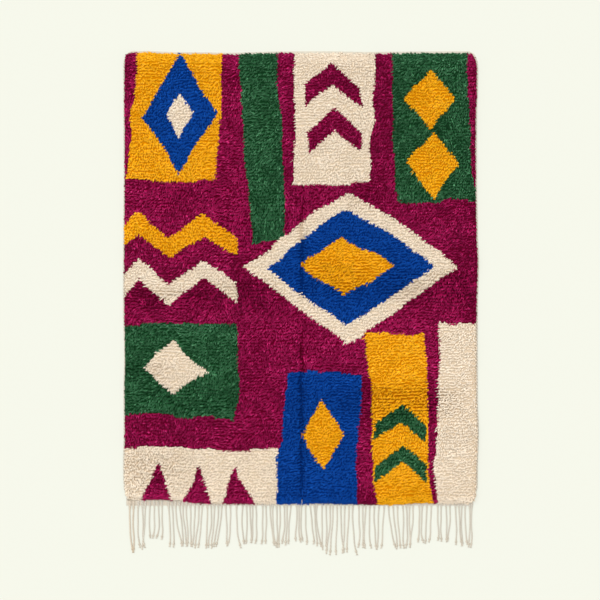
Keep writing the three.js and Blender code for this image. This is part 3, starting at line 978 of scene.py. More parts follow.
@dataclass(frozen=True)
class Nap:
    """How the locks lie: mostly towards the fringe, in swirls, clumps and parted rows."""

    outline: Outline  # of the foot of the pile
    lean: float = 17.0 * MM  # how far a tip lies from its root
    lean_uneven: float = 0.20
    lean_drift: float = 0.30  # how much its length changes from part to part
    aslant: float = -0.7  # its heading from the way to the fringe, in radians
    swirls: tuple[tuple[int, float, float], ...] = ((31, 0.21, 0.75), (32, 0.060, 0.6), (38, 0.027, 0.35))
    jitter: float = 0.20  # of a single lock's heading
    most_turn: float = 1.2
    furrow: float = 4.4 * MM  # how far rows of tips crowd together where the pile lies parted
    even_rows: float = 0.22  # the share of it elsewhere
    clump: float = 2.6 * MM  # and small bunches of them
    ripple_pitch: float = 15.0 * MM
    ripple_pull: float = 5.0 * MM
    ripple_drop: float = 7.0 * MM
    ripple_wander: float = 6.0 * MM
    dip: float = 1.6 * MM  # how far tips drop in small hollows
    stray: float = 1.5 * MM  # how far each tip lies off its even place
    crease_lean: float = 12.0 * MM  # how far tips lie to both sides of an upright fold
    crease_waves: tuple[tuple[int, float, float], ...] = ((42, 0.075, 11.0 * MM), (43, 0.022, 4.5 * MM))
    crease_width: float = 1.5 * MM
    crease_own: float = 0.2  # the share of their own lean that they keep
    least_lean: float = 12.0 * MM  # a lock near an end that would stand upright still splays this far
    rim_reach: tuple[float, ...] = (0.026, 0.026, 0.026, 0.040)  # how far in the rim draws them
    rim_lean: tuple[float, float, float] = (3.0 * MM, 5.5 * MM, 7.0 * MM)  # sides, fringed, plain
    rim_uneven: float = 0.35

    @staticmethod
    def folded(x: Floats, y: Floats) -> Floats:
        """How strongly the rows part at each place across and along, from 0 to 1."""
        return np.max([ripple.strength(x, y) for ripple in RIPPLES], axis=0)

    def rippled(self, x: Floats, y: Floats) -> tuple[Floats, Floats, Floats]:
        """Works out how the parted rows move and lower the tips.

        Args:
            x: The tips' places across the rug.
            y: Their places along it.

        Returns:
            How far each tip moves across and along, and how far it drops.
        """
        move_x, move_y, drop = np.zeros_like(x), np.zeros_like(x), np.zeros_like(x)
        wander = self.ripple_wander * SoftNoise(41, 0.07, 0.05).at(x, y)
        for ripple in RIPPLES:
            fade = ripple.strength(x, y)
            phase = math.tau * ((x if ripple.upright else y) + wander) / self.ripple_pitch
            pull = -self.ripple_pull * fade * np.sin(phase)
            move_x += pull * ripple.upright
            move_y += pull * (not ripple.upright)
            drop = np.maximum(drop, self.ripple_drop * fade * (0.5 - 0.5 * np.cos(phase)))
        return move_x, move_y, drop

    def creased(self, x: Floats, y: Floats, out_x: Floats) -> Floats:
        """Parts the locks to both sides of each upright fold, along a wavy line.

        Args:
            x: The roots' places across the rug.
            y: Their places along it.
            out_x: How far each tip would lie across from its root.

        Returns:
            How far it lies across with the folds.
        """
        waves = (reach * SoftNoise(seed, 1.0, span).at(0.0 * y, y) for seed, span, reach in self.crease_waves)
        wave = sum(waves)
        for ripple in (each for each in RIPPLES if each.upright):
            fade = ripple.strength(x - wave, y)
            parted = self.crease_lean * np.tanh((x - ripple.x - wave) / self.crease_width)
            out_x = (1.0 - fade) * out_x + fade * (parted + self.crease_own * out_x)
        return out_x

    def heading(self, x: Floats, y: Floats, own: Floats | float = 0.0) -> Floats:
        """Works out how far the nap is turned from the way to the fringe.

        Args:
            x: Places across the rug.
            y: Places along it.
            own: How far each lock itself is turned.

        Returns:
            The turn at each place, in radians.
        """
        turn = own + sum(reach * SoftNoise(seed, span).at(x, y) for seed, span, reach in self.swirls)
        return self.aslant + self.most_turn * np.tanh(turn / self.most_turn)

    def flow(self, x: Floats, y: Floats) -> tuple[Floats, Floats]:
        """Works out how the nap lies on the whole.

        Args:
            x: Places across the rug.
            y: Places along it.

        Returns:
            How far a tip lies across and along from its root.
        """
        turn = self.heading(x, y)
        rim_x, rim_y, free_x, free_y = self._outwards(x, y)
        return rim_x + self.lean * free_x * np.sin(turn), rim_y - self.lean * free_y * np.cos(turn)

    def leans(self, x: Floats, y: Floats, rng: np.random.Generator) -> tuple[Floats, Floats, Floats]:
        """Works out where each lock's tip lies from its root.

        Args:
            x: The roots' places across the rug.
            y: Their places along it.
            rng: The source of each lock's own unevenness.

        Returns:
            How far each tip lies across and along from its root, and how far it drops.
        """
        turn = self.heading(x, y, self.jitter * rng.standard_normal(x.shape))
        length = self.lean * (1.0 + self.lean_uneven * rng.standard_normal(x.shape))
        length = length * (1.0 + self.lean_drift * SoftNoise(33, 0.05).at(x, y))
        out_x, out_y = length * np.sin(turn), -length * np.cos(turn)
        rows = self.even_rows + (1.0 - self.even_rows) * self.folded(x, y)
        out_y = out_y + self.furrow * rows * SoftNoise(34, 0.060, 0.014).at(x, y)
        out_x = out_x + self.clump * SoftNoise(35, 0.019, 0.030).at(x, y)
        out_y = out_y + self.clump * SoftNoise(36, 0.022).at(x, y)
        out_x = self.creased(x, y, out_x)
        move_x, move_y, drop = self.rippled(x + out_x, y + out_y)
        drop = drop + self.dip * np.maximum(SoftNoise(37, 0.020, 0.014).at(x, y), 0.0)
        rim_x, rim_y, free_x, free_y = self._outwards(x, y)
        own = 1.0 + self.rim_uneven * rng.standard_normal(x.shape)
        out_x = (out_x + move_x) * free_x + rim_x * own + self.stray * rng.standard_normal(x.shape)
        out_y = (out_y + move_y) * free_y + rim_y * own + self.stray * rng.standard_normal(x.shape)
        at_ends = (free_x > 0.3) & (free_y < 0.999)
        grow = np.maximum(self.least_lean / np.maximum(np.hypot(out_x, out_y), MM), 1.0)
        grow = np.where(at_ends, grow, 1.0)
        return out_x * grow, out_y * grow, drop * np.minimum(free_x, free_y)

    def _outwards(self, x: Floats, y: Floats) -> tuple[Floats, Floats, Floats, Floats]:
        """Works out the pull of the rim.

        Args:
            x: Places across the rug.
            y: Places along it.

        Returns:
            How far it draws a tip across and along, and how free the tip stays to lie
            across and along, from 0 to 1.
        """
        left, right = self.outline.sides_at(y)
        fringed, plain = self.outline.ends_at(x)
        gaps = (x - left, right - x, y - fringed, plain - y)
        near = [eased(1.0 - gap / reach) for gap, reach in zip(gaps, self.rim_reach)]
        side, low, high = self.rim_lean
        over = np.maximum(np.hypot(near[1] - near[0], near[3] - near[2]), 1.0)
        across, along = side * (near[1] - near[0]) / over, (high * near[3] - low * near[2]) / over
        return across, along, 1.0 - np.maximum(near[0], near[1]), 1.0 - np.maximum(near[2], near[3])


class Tube:
    """A tube modelled once, from which every lock, strand and thread is copied.

    Its points hold no real places: each one has a turn round the tube, a share of its
    length and a relative width, which are then laid along each copy's own line.
    """

    def __init__(self, sides: int, stations: tuple[tuple[float, float], ...]) -> None:
        """Models the tube.

        Args:
            sides: The number of its sides.
            stations: The share of the length and the width of each ring. A last ring of
                no width is a point.
        """
        bpy.ops.object.select_all(action="DESELECT")
        first_share, first_width = stations[0]
        bpy.ops.mesh.primitive_circle_add(
            vertices=sides, radius=first_width, fill_type="NGON", location=(0, 0, first_share)
        )
        made = bpy.context.active_object
        bpy.ops.object.mode_set(mode="EDIT")
        bpy.ops.mesh.select_all(action="SELECT")
        for (share, width), (next_share, next_width) in zip(stations, stations[1:]):
            rise = (0.0, 0.0, next_share - share)
            bpy.ops.mesh.extrude_region_move(TRANSFORM_OT_translate={"value": rise})
            if next_width > 0.0:
                grow = next_width / width
                bpy.ops.transform.resize(value=(grow, grow, 1.0), center_override=(0.0, 0.0, next_share))
            else:
                bpy.ops.mesh.merge(type="CENTER")
        bpy.ops.mesh.select_all(action="SELECT")
        bpy.ops.mesh.normals_make_consistent(inside=False)
        bpy.ops.object.mode_set(mode="OBJECT")
        made.data.transform(made.matrix_world)
        self._read(made.data)
        bpy.data.objects.remove(made)

    def _read(self, mesh: bpy.types.Mesh) -> None:
        """Keeps the tube's points and faces as arrays.

        Args:
            mesh: The modelled tube.
        """
        points = points_of(mesh)
        self.share = points[:, 2]
        self.width = np.hypot(points[:, 0], points[:, 1])
        self.turn = np.arctan2(points[:, 1], points[:, 0]) / math.tau
        self.corners = np.array([loop.vertex_index for loop in mesh.loops])
        self.starts = np.array([face.loop_start for face in mesh.polygons])
        self.map = np.zeros((len(self.corners), 2))
        self.capped = np.zeros(len(self.corners), bool)
        for face in mesh.polygons:
            loops = np.arange(face.loop_start, face.loop_start + face.loop_total)
            numbers = self.corners[loops]
            level = np.ptp(self.share[numbers]) < 1e-6
            middle = points[numbers].mean(axis=0)
            centre = math.atan2(middle[1], middle[0]) / math.tau
            away = self.turn[numbers] - centre
            away -= np.round(away)
            away[self.width[numbers] < 1e-6] = 0.0
            cap = 0.5 + 0.3 * np.cos(math.tau * self.turn[numbers])
            self.map[loops, 0] = cap if level else centre % 1.0 + away
            self.map[loops, 1] = self.share[numbers]
            self.capped[loops] = level

    def laid(
        self, path: Floats, width: Floats, rolled: Floats,
        flat: float = 0.0, lobes: float = 0.0, twist: float = 0.0,
    ) -> Floats:
        """Lays a copy of the tube along each of many lines.

        Args:
            path: The line of each copy, one point for every different share of the tube.
            width: The half width of each copy at each of its points.
            rolled: How far each copy is rolled about its line, in radians.
            flat: How much wider than round it is, as a share.
            lobes: How far two plies stand out from the round, as a share.
            twist: How many turns the plies make along the tube.

        Returns:
            The points of all the copies, copy by copy.
        """
        shares, ring = np.unique(np.round(self.share, 6), return_inverse=True)
        run = lengths_to_one(np.gradient(path, axis=1))
        side = lengths_to_one(np.cross(np.broadcast_to(UP, run.shape), run))
        over = np.cross(run, side)
        turn = self.turn[None, :] * math.tau + rolled[:, None]
        wide = self.width[None, :] * width[:, ring]
        if lobes:
            wide = wide * (1.0 + lobes * np.cos(2.0 * (turn - math.tau * twist * shares[ring])))
        aside, above = wide * (1.0 + flat) * np.cos(turn), wide * (1.0 - flat) * np.sin(turn)
        return path[:, ring] + aside[:, :, None] * side[:, ring] + above[:, :, None] * over[:, ring]


@dataclass
class Copies:
    """Many copies of one tube as one mesh, with the maps and attributes of their yarn."""

    name: str
    tube: Tube
    points: Floats  # for each copy, each of the tube's points
    along: Floats  # how far each of those points is from root to tip
    tone: Floats  # each copy's own tone

    MARGIN = 0.07  # round each copy's block of the bake map, as a share of it
    CAP, CAP_HALF = 0.06, 0.05  # where a copy's cap lies in its block, and its half height
    WALL = 0.14  # and where its wall starts

    def piece(self, block_columns: int, block_rows: int) -> bpy.types.Object:
        """Joins the copies into one piece.

        Args:
            block_columns: How many copies lie side by side on the bake map.
            block_rows: How many rows of them there are.

        Returns:
            The piece, at the origin.
        """
        count, each = len(self.points), len(self.tube.share)
        shift = np.arange(count)
        corners = (self.tube.corners[None, :] + shift[:, None] * each).ravel()
        starts = (self.tube.starts[None, :] + shift[:, None] * len(self.tube.corners)).ravel()
        mesh = bpy.data.meshes.new(self.name)
        mesh.vertices.add(count * each)
        mesh.vertices.foreach_set("co", self.points.astype(np.float32).ravel())
        mesh.loops.add(len(corners))
        mesh.loops.foreach_set("vertex_index", corners.astype(np.int32))
        mesh.polygons.add(len(starts))
        mesh.polygons.foreach_set("loop_start", starts.astype(np.int32))
        mesh.update(calc_edges=True)
        mesh.shade_smooth()
        set_numbers(mesh, "along", "POINT", np.broadcast_to(self.along, (count, each)))
        set_numbers(mesh, "tone", "POINT", np.repeat(self.tone, each))
        yarn = np.tile(self.tube.map, (count, 1))
        baked = self._blocks(shift, block_columns, block_rows)
        for name, places in ((BAKE_MAP, baked), (YARN_MAP, yarn)):
            layer = mesh.uv_layers.new(name=name, do_init=False)
            layer.uv.foreach_set("vector", places.astype(np.float32).ravel())
        piece = bpy.data.objects.new(self.name, mesh)
        bpy.context.scene.collection.objects.link(piece)
        return piece

    def _blocks(self, shift: Floats, columns: int, rows: int) -> Floats:
        """Gives each copy its own block of the bake map.

        Args:
            shift: The number of each copy.
            columns: How many blocks lie side by side.
            rows: How many rows of them there are.

        Returns:
            The place of every corner on the map.
        """
        capped, inside = self.tube.capped, self.tube.map.copy()
        inside[:, 1] = np.where(capped, self.CAP, self.WALL + (1.0 - self.WALL) * inside[:, 1])
        inside[capped, 1] += self.CAP_HALF * np.sin(math.tau * self.tube.turn[self.tube.corners[capped]])
        inside = self.MARGIN + (1.0 - 2.0 * self.MARGIN) * inside
        corner = np.stack([shift % columns, shift // columns], 1)[:, None, :]
        return ((corner + inside[None, :, :]) / (columns, rows)).reshape(-1, 2)


@dataclass
class Pile:
    """The wool pile: two locks for every knot, gathered into a piece for each wool."""

    survey: Survey
    knots: Knots
    nap: Nap
    half_width: float = 3.0 * MM  # of a lock at its fullest
    flat: float = 0.15
    lie: float = 1.3  # how late a lock turns over
    sag: float = 4.2 * MM  # how far its middle lies below the pile's surface, and its tip
    droop: float = 1.4 * MM
    sink: float = 1.8 * MM  # its own half thickness below the pile's surface
    root_level: float = 2.6 * MM
    least_tip: float = 4.6 * MM
    gap: float = 3.2 * MM  # between the two locks of a knot
    stray: float = 0.9 * MM  # how far a root lies off its even place
    rim_rise: float = 4.5 * MM  # how unevenly tips end where the solid is low
    top_uneven: float = 1.2 * MM  # and elsewhere
    sag_range: tuple[float, float] = (0.6, 0.8)  # the least share of it, and what chance adds
    width_uneven: float = 0.16
    widths: tuple[float, float] = (0.6, 1.5)  # the least and the most that this makes of it
    batch_tones: tuple[float, float] = (0.35, 0.45)  # slow changes of tone, in bands and in patches
    knot_tone: float = 0.42  # how far knots differ in tone
    tones: tuple[float, float] = (-1.2, 1.2)  # the least and the most of these together
    faded: tuple[float, float] = (0.07, 1.4)  # the share of knots that are paler, and by how much
    own_tone: float = 0.15  # how far the two locks of a knot differ in tone
    most_locks: int = 19000  # in one piece
    stations: tuple[tuple[float, float], ...] = ((0.0, 0.8), (0.5, 1.0), (1.0, 0.0))

    def build(self) -> list[bpy.types.Object]:
        """Makes the pile.

        Returns:
            Its pieces, dressed in their wools.
        """
        rng = np.random.default_rng(2041)
        x = np.concatenate([self.knots.x - self.gap / 2, self.knots.x + self.gap / 2])
        y = np.tile(self.knots.y, 2)
        wool = np.tile(self.knots.wool, 2)
        x = x + self.stray * rng.standard_normal(x.shape)
        y = y + self.stray * rng.standard_normal(x.shape)
        lean_x, lean_y, drop = self.nap.leans(x, y, rng)
        top = self.survey.tops(x + lean_x, y + lean_y)
        at_rim = self.least_tip + self.rim_rise * rng.random(x.shape)
        level = top - self.sink - drop - self.top_uneven * rng.random(x.shape)
        tip = np.maximum(np.where(top > 2 * self.least_tip, level, at_rim), self.least_tip)
        tube = Tube(3, self.stations)
        points = self._locks(tube, np.stack([x, y], 1), np.stack([lean_x, lean_y], 1), tip, rng)
        tone = np.tile(self._tones(self.knots.x, self.knots.y, rng), 2)
        tone = tone + self.own_tone * rng.standard_normal(x.shape)
        return self._pieces(Copies("pile", tube, points, tube.share, tone), wool, y)

    def _locks(
        self, tube: Tube, roots: Floats, leans: Floats, tips: Floats, rng: np.random.Generator
    ) -> Floats:
        """Bends a lock from each root to its tip.

        Args:
            tube: The lock to copy.
            roots: The places of the roots.
            leans: Where each tip lies from its root.
            tips: The heights of the tips.
            rng: The source of each lock's own width and roll.

        Returns:
            The points of every lock.
        """
        share = np.array([station[0] for station in self.stations])
        path = np.empty((len(roots), len(share), 3))
        path[:, :, :2] = roots[:, None, :] + leans[:, None, :] * (share ** self.lie)[None, :, None]
        path[:, 0, 2], path[:, -1, 2] = self.root_level, tips - self.droop
        least, more = self.sag_range
        for place in path[:, 1:-1].swapaxes(0, 1):
            top = self.survey.tops(place[:, 0], place[:, 1])
            place[:, 2] = np.maximum(top - self.sag * (least + more * rng.random(len(roots))), self.least_tip)
        uneven_width = 1.0 + self.width_uneven * rng.standard_normal(len(roots))
        width = self.half_width * np.clip(uneven_width, *self.widths)
        rolled = math.tau * rng.random(len(roots))
        return tube.laid(path, np.repeat(width[:, None], len(share), 1), rolled, self.flat)

    def _tones(self, x: Floats, y: Floats, rng: np.random.Generator) -> Floats:
        """Gives each knot its own tone, within the slow changes of a hand-dyed batch.

        Args:
            x: The knots' places across the rug.
            y: Their places along it.
            rng: The source of each knot's own tone.

        Returns:
            A tone for each knot, mostly from -1 to 1.
        """
        bands, patches = self.batch_tones
        batch = bands * SoftNoise(51, 0.9, 0.16).at(x, y) + patches * SoftNoise(52, 0.05).at(x, y)
        pale = (rng.random(x.shape) < self.faded[0]) * self.faded[1]
        return np.clip(batch + self.knot_tone * rng.standard_normal(x.shape), *self.tones) + pale

    def _pieces(self, locks: Copies, wool: Floats, y: Floats) -> list[bpy.types.Object]:
        """Gathers the locks of each wool, and halves a wool with too many for one piece.

        Args:
            locks: All the locks.
            wool: The place of each one's wool in the design's order.
            y: Its place along the rug.

        Returns:
            The pieces.
        """
        made = []
        for number, kind in enumerate(Design.ORDER):
            own = np.flatnonzero(wool == number)
            own = own[np.argsort(y[own], kind="stable")]
            material = WOOLS[kind].material()
            parts = np.array_split(own, math.ceil(len(own) / self.most_locks))
            for part, chosen in enumerate(parts):
                name = f"pile_{kind.name.lower()}" + (f"_{part + 1}" if len(parts) > 1 else "")
                side = math.ceil(math.sqrt(len(chosen)))
                copies = Copies(name, locks.tube, locks.points[chosen], locks.along, locks.tone[chosen])
                made.append(dress(copies.piece(side, side), material))
                log.info("%s: %d locks", name, len(chosen))
        return made


@dataclass
class GroundWeave:
    """The ground weave: a thin sheet with the knots' backs showing in their wools below, and the foot of the
    pile, in painted root shade, on top.
    """

    outline: Outline
    survey: Survey
    design: Design
    nap: Nap
    columns: int = 156
    rows: int = 160
    thick: float = 3.0 * MM
    narrower: float = 0.2 * MM  # than its outline, at the sides and the fringed end
    bare: Colour = (0.90, 0.87, 0.80)
    foot_shade: float = 0.95  # how much darker the dense foot of the pile is painted, as shade down among the locks
    sunk: float = 7.0 * MM  # and how far it lies below the pile's surface
    shift: float = 0.5  # of the nap's lean, how far the foot's colours move with it
    folded_sink: float = 6.5 * MM  # and how much further where the pile lies parted
    parted: float = 80.0 * MM  # how far in from the plain end its painted shade fades, leaving it as light as the pile
    rim: float = 0.5 * MM  # how far in from the pile's edge its foot starts to rise
    slope: float = 8.0 * MM  # and over what width it does
    ledge: float = 12.0 * MM  # how wide the bare edge is at the plain end, at the most
    over_strip: tuple[float, float] = (3.6 * MM, 4.3 * MM)  # its heights above the strip
    over_rows: int = 6  # rows that make room for the part above the strip
    hem: float = 6.0 * MM  # how high the bare weave above the strip reaches

    def build(self) -> bpy.types.Object:
        """Makes the sheet.

        Returns:
            The sheet, dressed.
        """
        sheet, u, v = flat_grid("rug_ground_weave", self.columns, self.rows)
        x, y = self.outline.placed(u, v, (self.narrower, self.narrower, 0.0))
        thicken(sheet, *self.outline.rounded(x, y), self.thick)
        self._raise_foot(sheet.data)
        self._colour(sheet.data)
        return dress(sheet, WeaveFinish().material())

    def _raise_foot(self, mesh: bpy.types.Mesh) -> None:
        """Raises the upper face to the dense foot of the pile, down among its locks.

        Args:
            mesh: The sheet's mesh.
        """
        points = points_of(mesh)
        upper = points[:, 2] > self.thick / 2.0
        x, y = points[upper, 0], points[upper, 1]
        own = self.outline.ends_at(x)
        fringed, plain = self.nap.outline.ends_at(x)
        gap = (own[1] - own[0]) / self.rows
        number = np.round((y - own[0]) / gap)
        reach = (gap + own[0] - fringed) * (1.0 - eased((number - 1.0) / self.over_rows))
        y = np.where(number > 0, y - reach, y)
        points[upper, 1] = y
        left, right = self.nap.outline.sides_at(y)
        inside = np.minimum(np.minimum(x - left, right - x), np.minimum(y - fringed, plain - y))
        inside = np.minimum(inside, -self.nap.outline.past_corner(x, y))
        folded = self.nap.folded(x, y) * self.folded_sink
        lift = np.maximum(self.survey.tops(x, y) - self.sunk - folded - self.thick, 0.0)
        height = points[upper, 2] + lift * eased((inside - self.rim) / self.slope)
        height = np.where(number == 1, self.over_strip[1], height)
        points[upper, 2] = np.where(number == 0, self.over_strip[0], height)
        set_points(mesh, points)

    def _colour(self, mesh: bpy.types.Mesh) -> None:
        """Stores a colour at every corner of the sheet: the knots' backs below, bare weave at its edges, and
        on top the foot of the pile in the painted shade of its roots.

        Args:
            mesh: The sheet's mesh.
        """
        count = len(mesh.polygons)
        middles, normals = np.empty(count * 3, np.float32), np.empty(count * 3, np.float32)
        mesh.polygons.foreach_get("center", middles)
        mesh.polygons.foreach_get("normal", normals)
        middles, normals = middles.reshape(-1, 3), normals.reshape(-1, 3)
        x, y = middles[:, 0].astype(float), middles[:, 1].astype(float)
        up = normals[:, 2] > 0.0
        flow_x, flow_y = self.nap.flow(x, y)
        wools = self.design.wools(x - self.shift * up * flow_x, y - self.shift * up * flow_y)
        colours, shaded_roots = (
            np.array([linear(colour)[:3] for colour in shades])[wools]
            for shades in zip(*((WOOLS[wool].body, WOOLS[wool].deep) for wool in Design.ORDER))
        )
        fringed, plain = self.outline.ends_at(middles[:, 0])
        low = (np.abs(normals[:, 2]) < 0.5) | (middles[:, 1] > plain - self.ledge)
        low |= self.nap.outline.past_corner(x, y) > -self.ledge
        edge = (middles[:, 2] < self.thick * 1.2) & low
        edge |= up & (middles[:, 1] < fringed) & (middles[:, 2] < self.hem)
        above = up & ~edge
        # painted shade: the foot of the pile takes its wools' root shade, darkened further, fading to their
        # own colour near the plain end
        near = eased(1.0 - (plain - middles[:, 1]) / self.parted)[above, None]
        colours[above] = (shaded_roots[above] * (1.0 - near) + colours[above] * near) * self.foot_shade
        colours[edge] = linear(self.bare)[:3]
        sizes = np.empty(count, np.int32)
        mesh.polygons.foreach_get("loop_total", sizes)
        corners = np.repeat(np.concatenate([colours, np.ones((count, 1))], 1), sizes, axis=0)
        layer = mesh.attributes.new("knot_back_and_foot_shade", "FLOAT_COLOR", "CORNER")
        layer.data.foreach_set("color", corners.astype(np.float32).ravel())
        set_numbers(mesh, "under", "CORNER", np.repeat(normals[:, 2] < -0.5, sizes))


@dataclass
class Selvedge:
    """The cords that edge both sides, undyed warps overcast with their own yarn."""

    outline: Outline
    strip_ends: tuple[float, float]  # where the woven strip ends, left and right
    half_width: float = 4.2 * MM
    inset: float = 1.0 * MM  # of its middle from the foot of the pile
    turned_in: float = 55.0 * MM  # the length over which it turns in to the strip
    ends: tuple[float, float] = (-1.003, 1.002)
    rings: int = 150
    turns: float = 70.0
    tones: tuple[float, float] = (0.35, 0.45)

    def build(self) -> bpy.types.Object:
        """Makes the cords.

        Returns:
            Both cords as one piece, dressed.
        """
        shares = np.linspace(0.0, 1.0, self.rings)
        tube = Tube(8, tuple((share, 1.0) for share in shares))
        y = self.ends[0] + (self.ends[1] - self.ends[0]) * shares
        left, right = self.outline.sides_at(y)
        level = np.full_like(y, 0.95 * self.half_width)
        close = eased(1.0 - (y - self.ends[0]) / self.turned_in)
        left = left + self.inset + close * (self.strip_ends[0] + self.half_width - left)
        right = right - self.inset + close * (self.strip_ends[1] - self.half_width - right)
        sides = (self.outline.rounded(side, y) for side in (left, right))
        path = np.array([np.column_stack([*side, level]) for side in sides])
        width = self.half_width * (1.0 + 0.10 * SoftNoise(71, 0.02).at(path[:, :, 0], path[:, :, 1]))
        points = tube.laid(path, width, np.zeros(len(path)))
        points[:, :, 2] = np.maximum(points[:, :, 2], FLOOR_GAP)
        cords = Copies("side_selvedges", tube, points, np.zeros(len(tube.share)), np.array(self.tones))
        finish = WarpFinish(name="selvedge_cord", turns=self.turns)
        return dress(cords.piece(2, 1), finish.material())


@dataclass(frozen=True)
class Bunch:
    """Strands of the fringe that hang together. Its places are in millimetres."""

    root: float
    root_gap: float
    strands: int
    tip: float
    tip_gap: float
    hang: float


BUNCHES = tuple(Bunch(*row) for row in (
    (-768, 16, 2, -762, 16, 205),
    (-731, 16, 3, -727, 12, 192),
    (-679, 17.5, 4, -677, 18, 148),
    (-598, 17, 2, -584, 12, 183),
    (-564, 16.5, 5, -540, 11, 178),
    (-477, 18, 4, -483, 16, 185),
    (-405, 16, 4, -413, 12, 186),
    (-339, 20, 2, -334, 12, 179),
    (-288, 0, 1, -279, 0, 185),
    (-260, 14, 5, -262, 15.5, 167),
    (-172, 15, 2, -174, 19, 170),
    (-138, 14, 4, -132, 11.5, 181),
    (-76, 17, 3, -79, 14, 172),
    (-20, 13, 3, -29, 18, 160),
    (24, 18, 2, 28, 26, 168),
    (61, 14, 2, 69, 12, 183),
    (97, 16, 2, 96, 14, 192),
    (131, 16, 3, 125, 14, 217),
    (182, 18, 3, 185, 14, 208),
    (236, 0, 1, 245, 0, 221),
    (262, 17, 4, 263, 15.5, 189),
    (334, 22, 3, 337, 19, 192),
    (396, 20, 3, 416, 13, 190),
    (459, 16, 4, 462, 13, 188),
    (533, 19, 4, 533, 17, 164),
    (618, 18, 4, 620, 16, 158),
    (696, 16, 4, 702, 14.5, 178),
    (762, 11, 2, 764, 13, 190),
))


def uneven(number: int, kind: int) -> float:
    """A steady stand-in for chance, from -1 to 1, for the number and the kind of a thing."""
    wave = math.sin(number * 12.9898 + kind * 78.233) * 43758.5453
    return 2.0 * (wave - math.floor(wave)) - 1.0


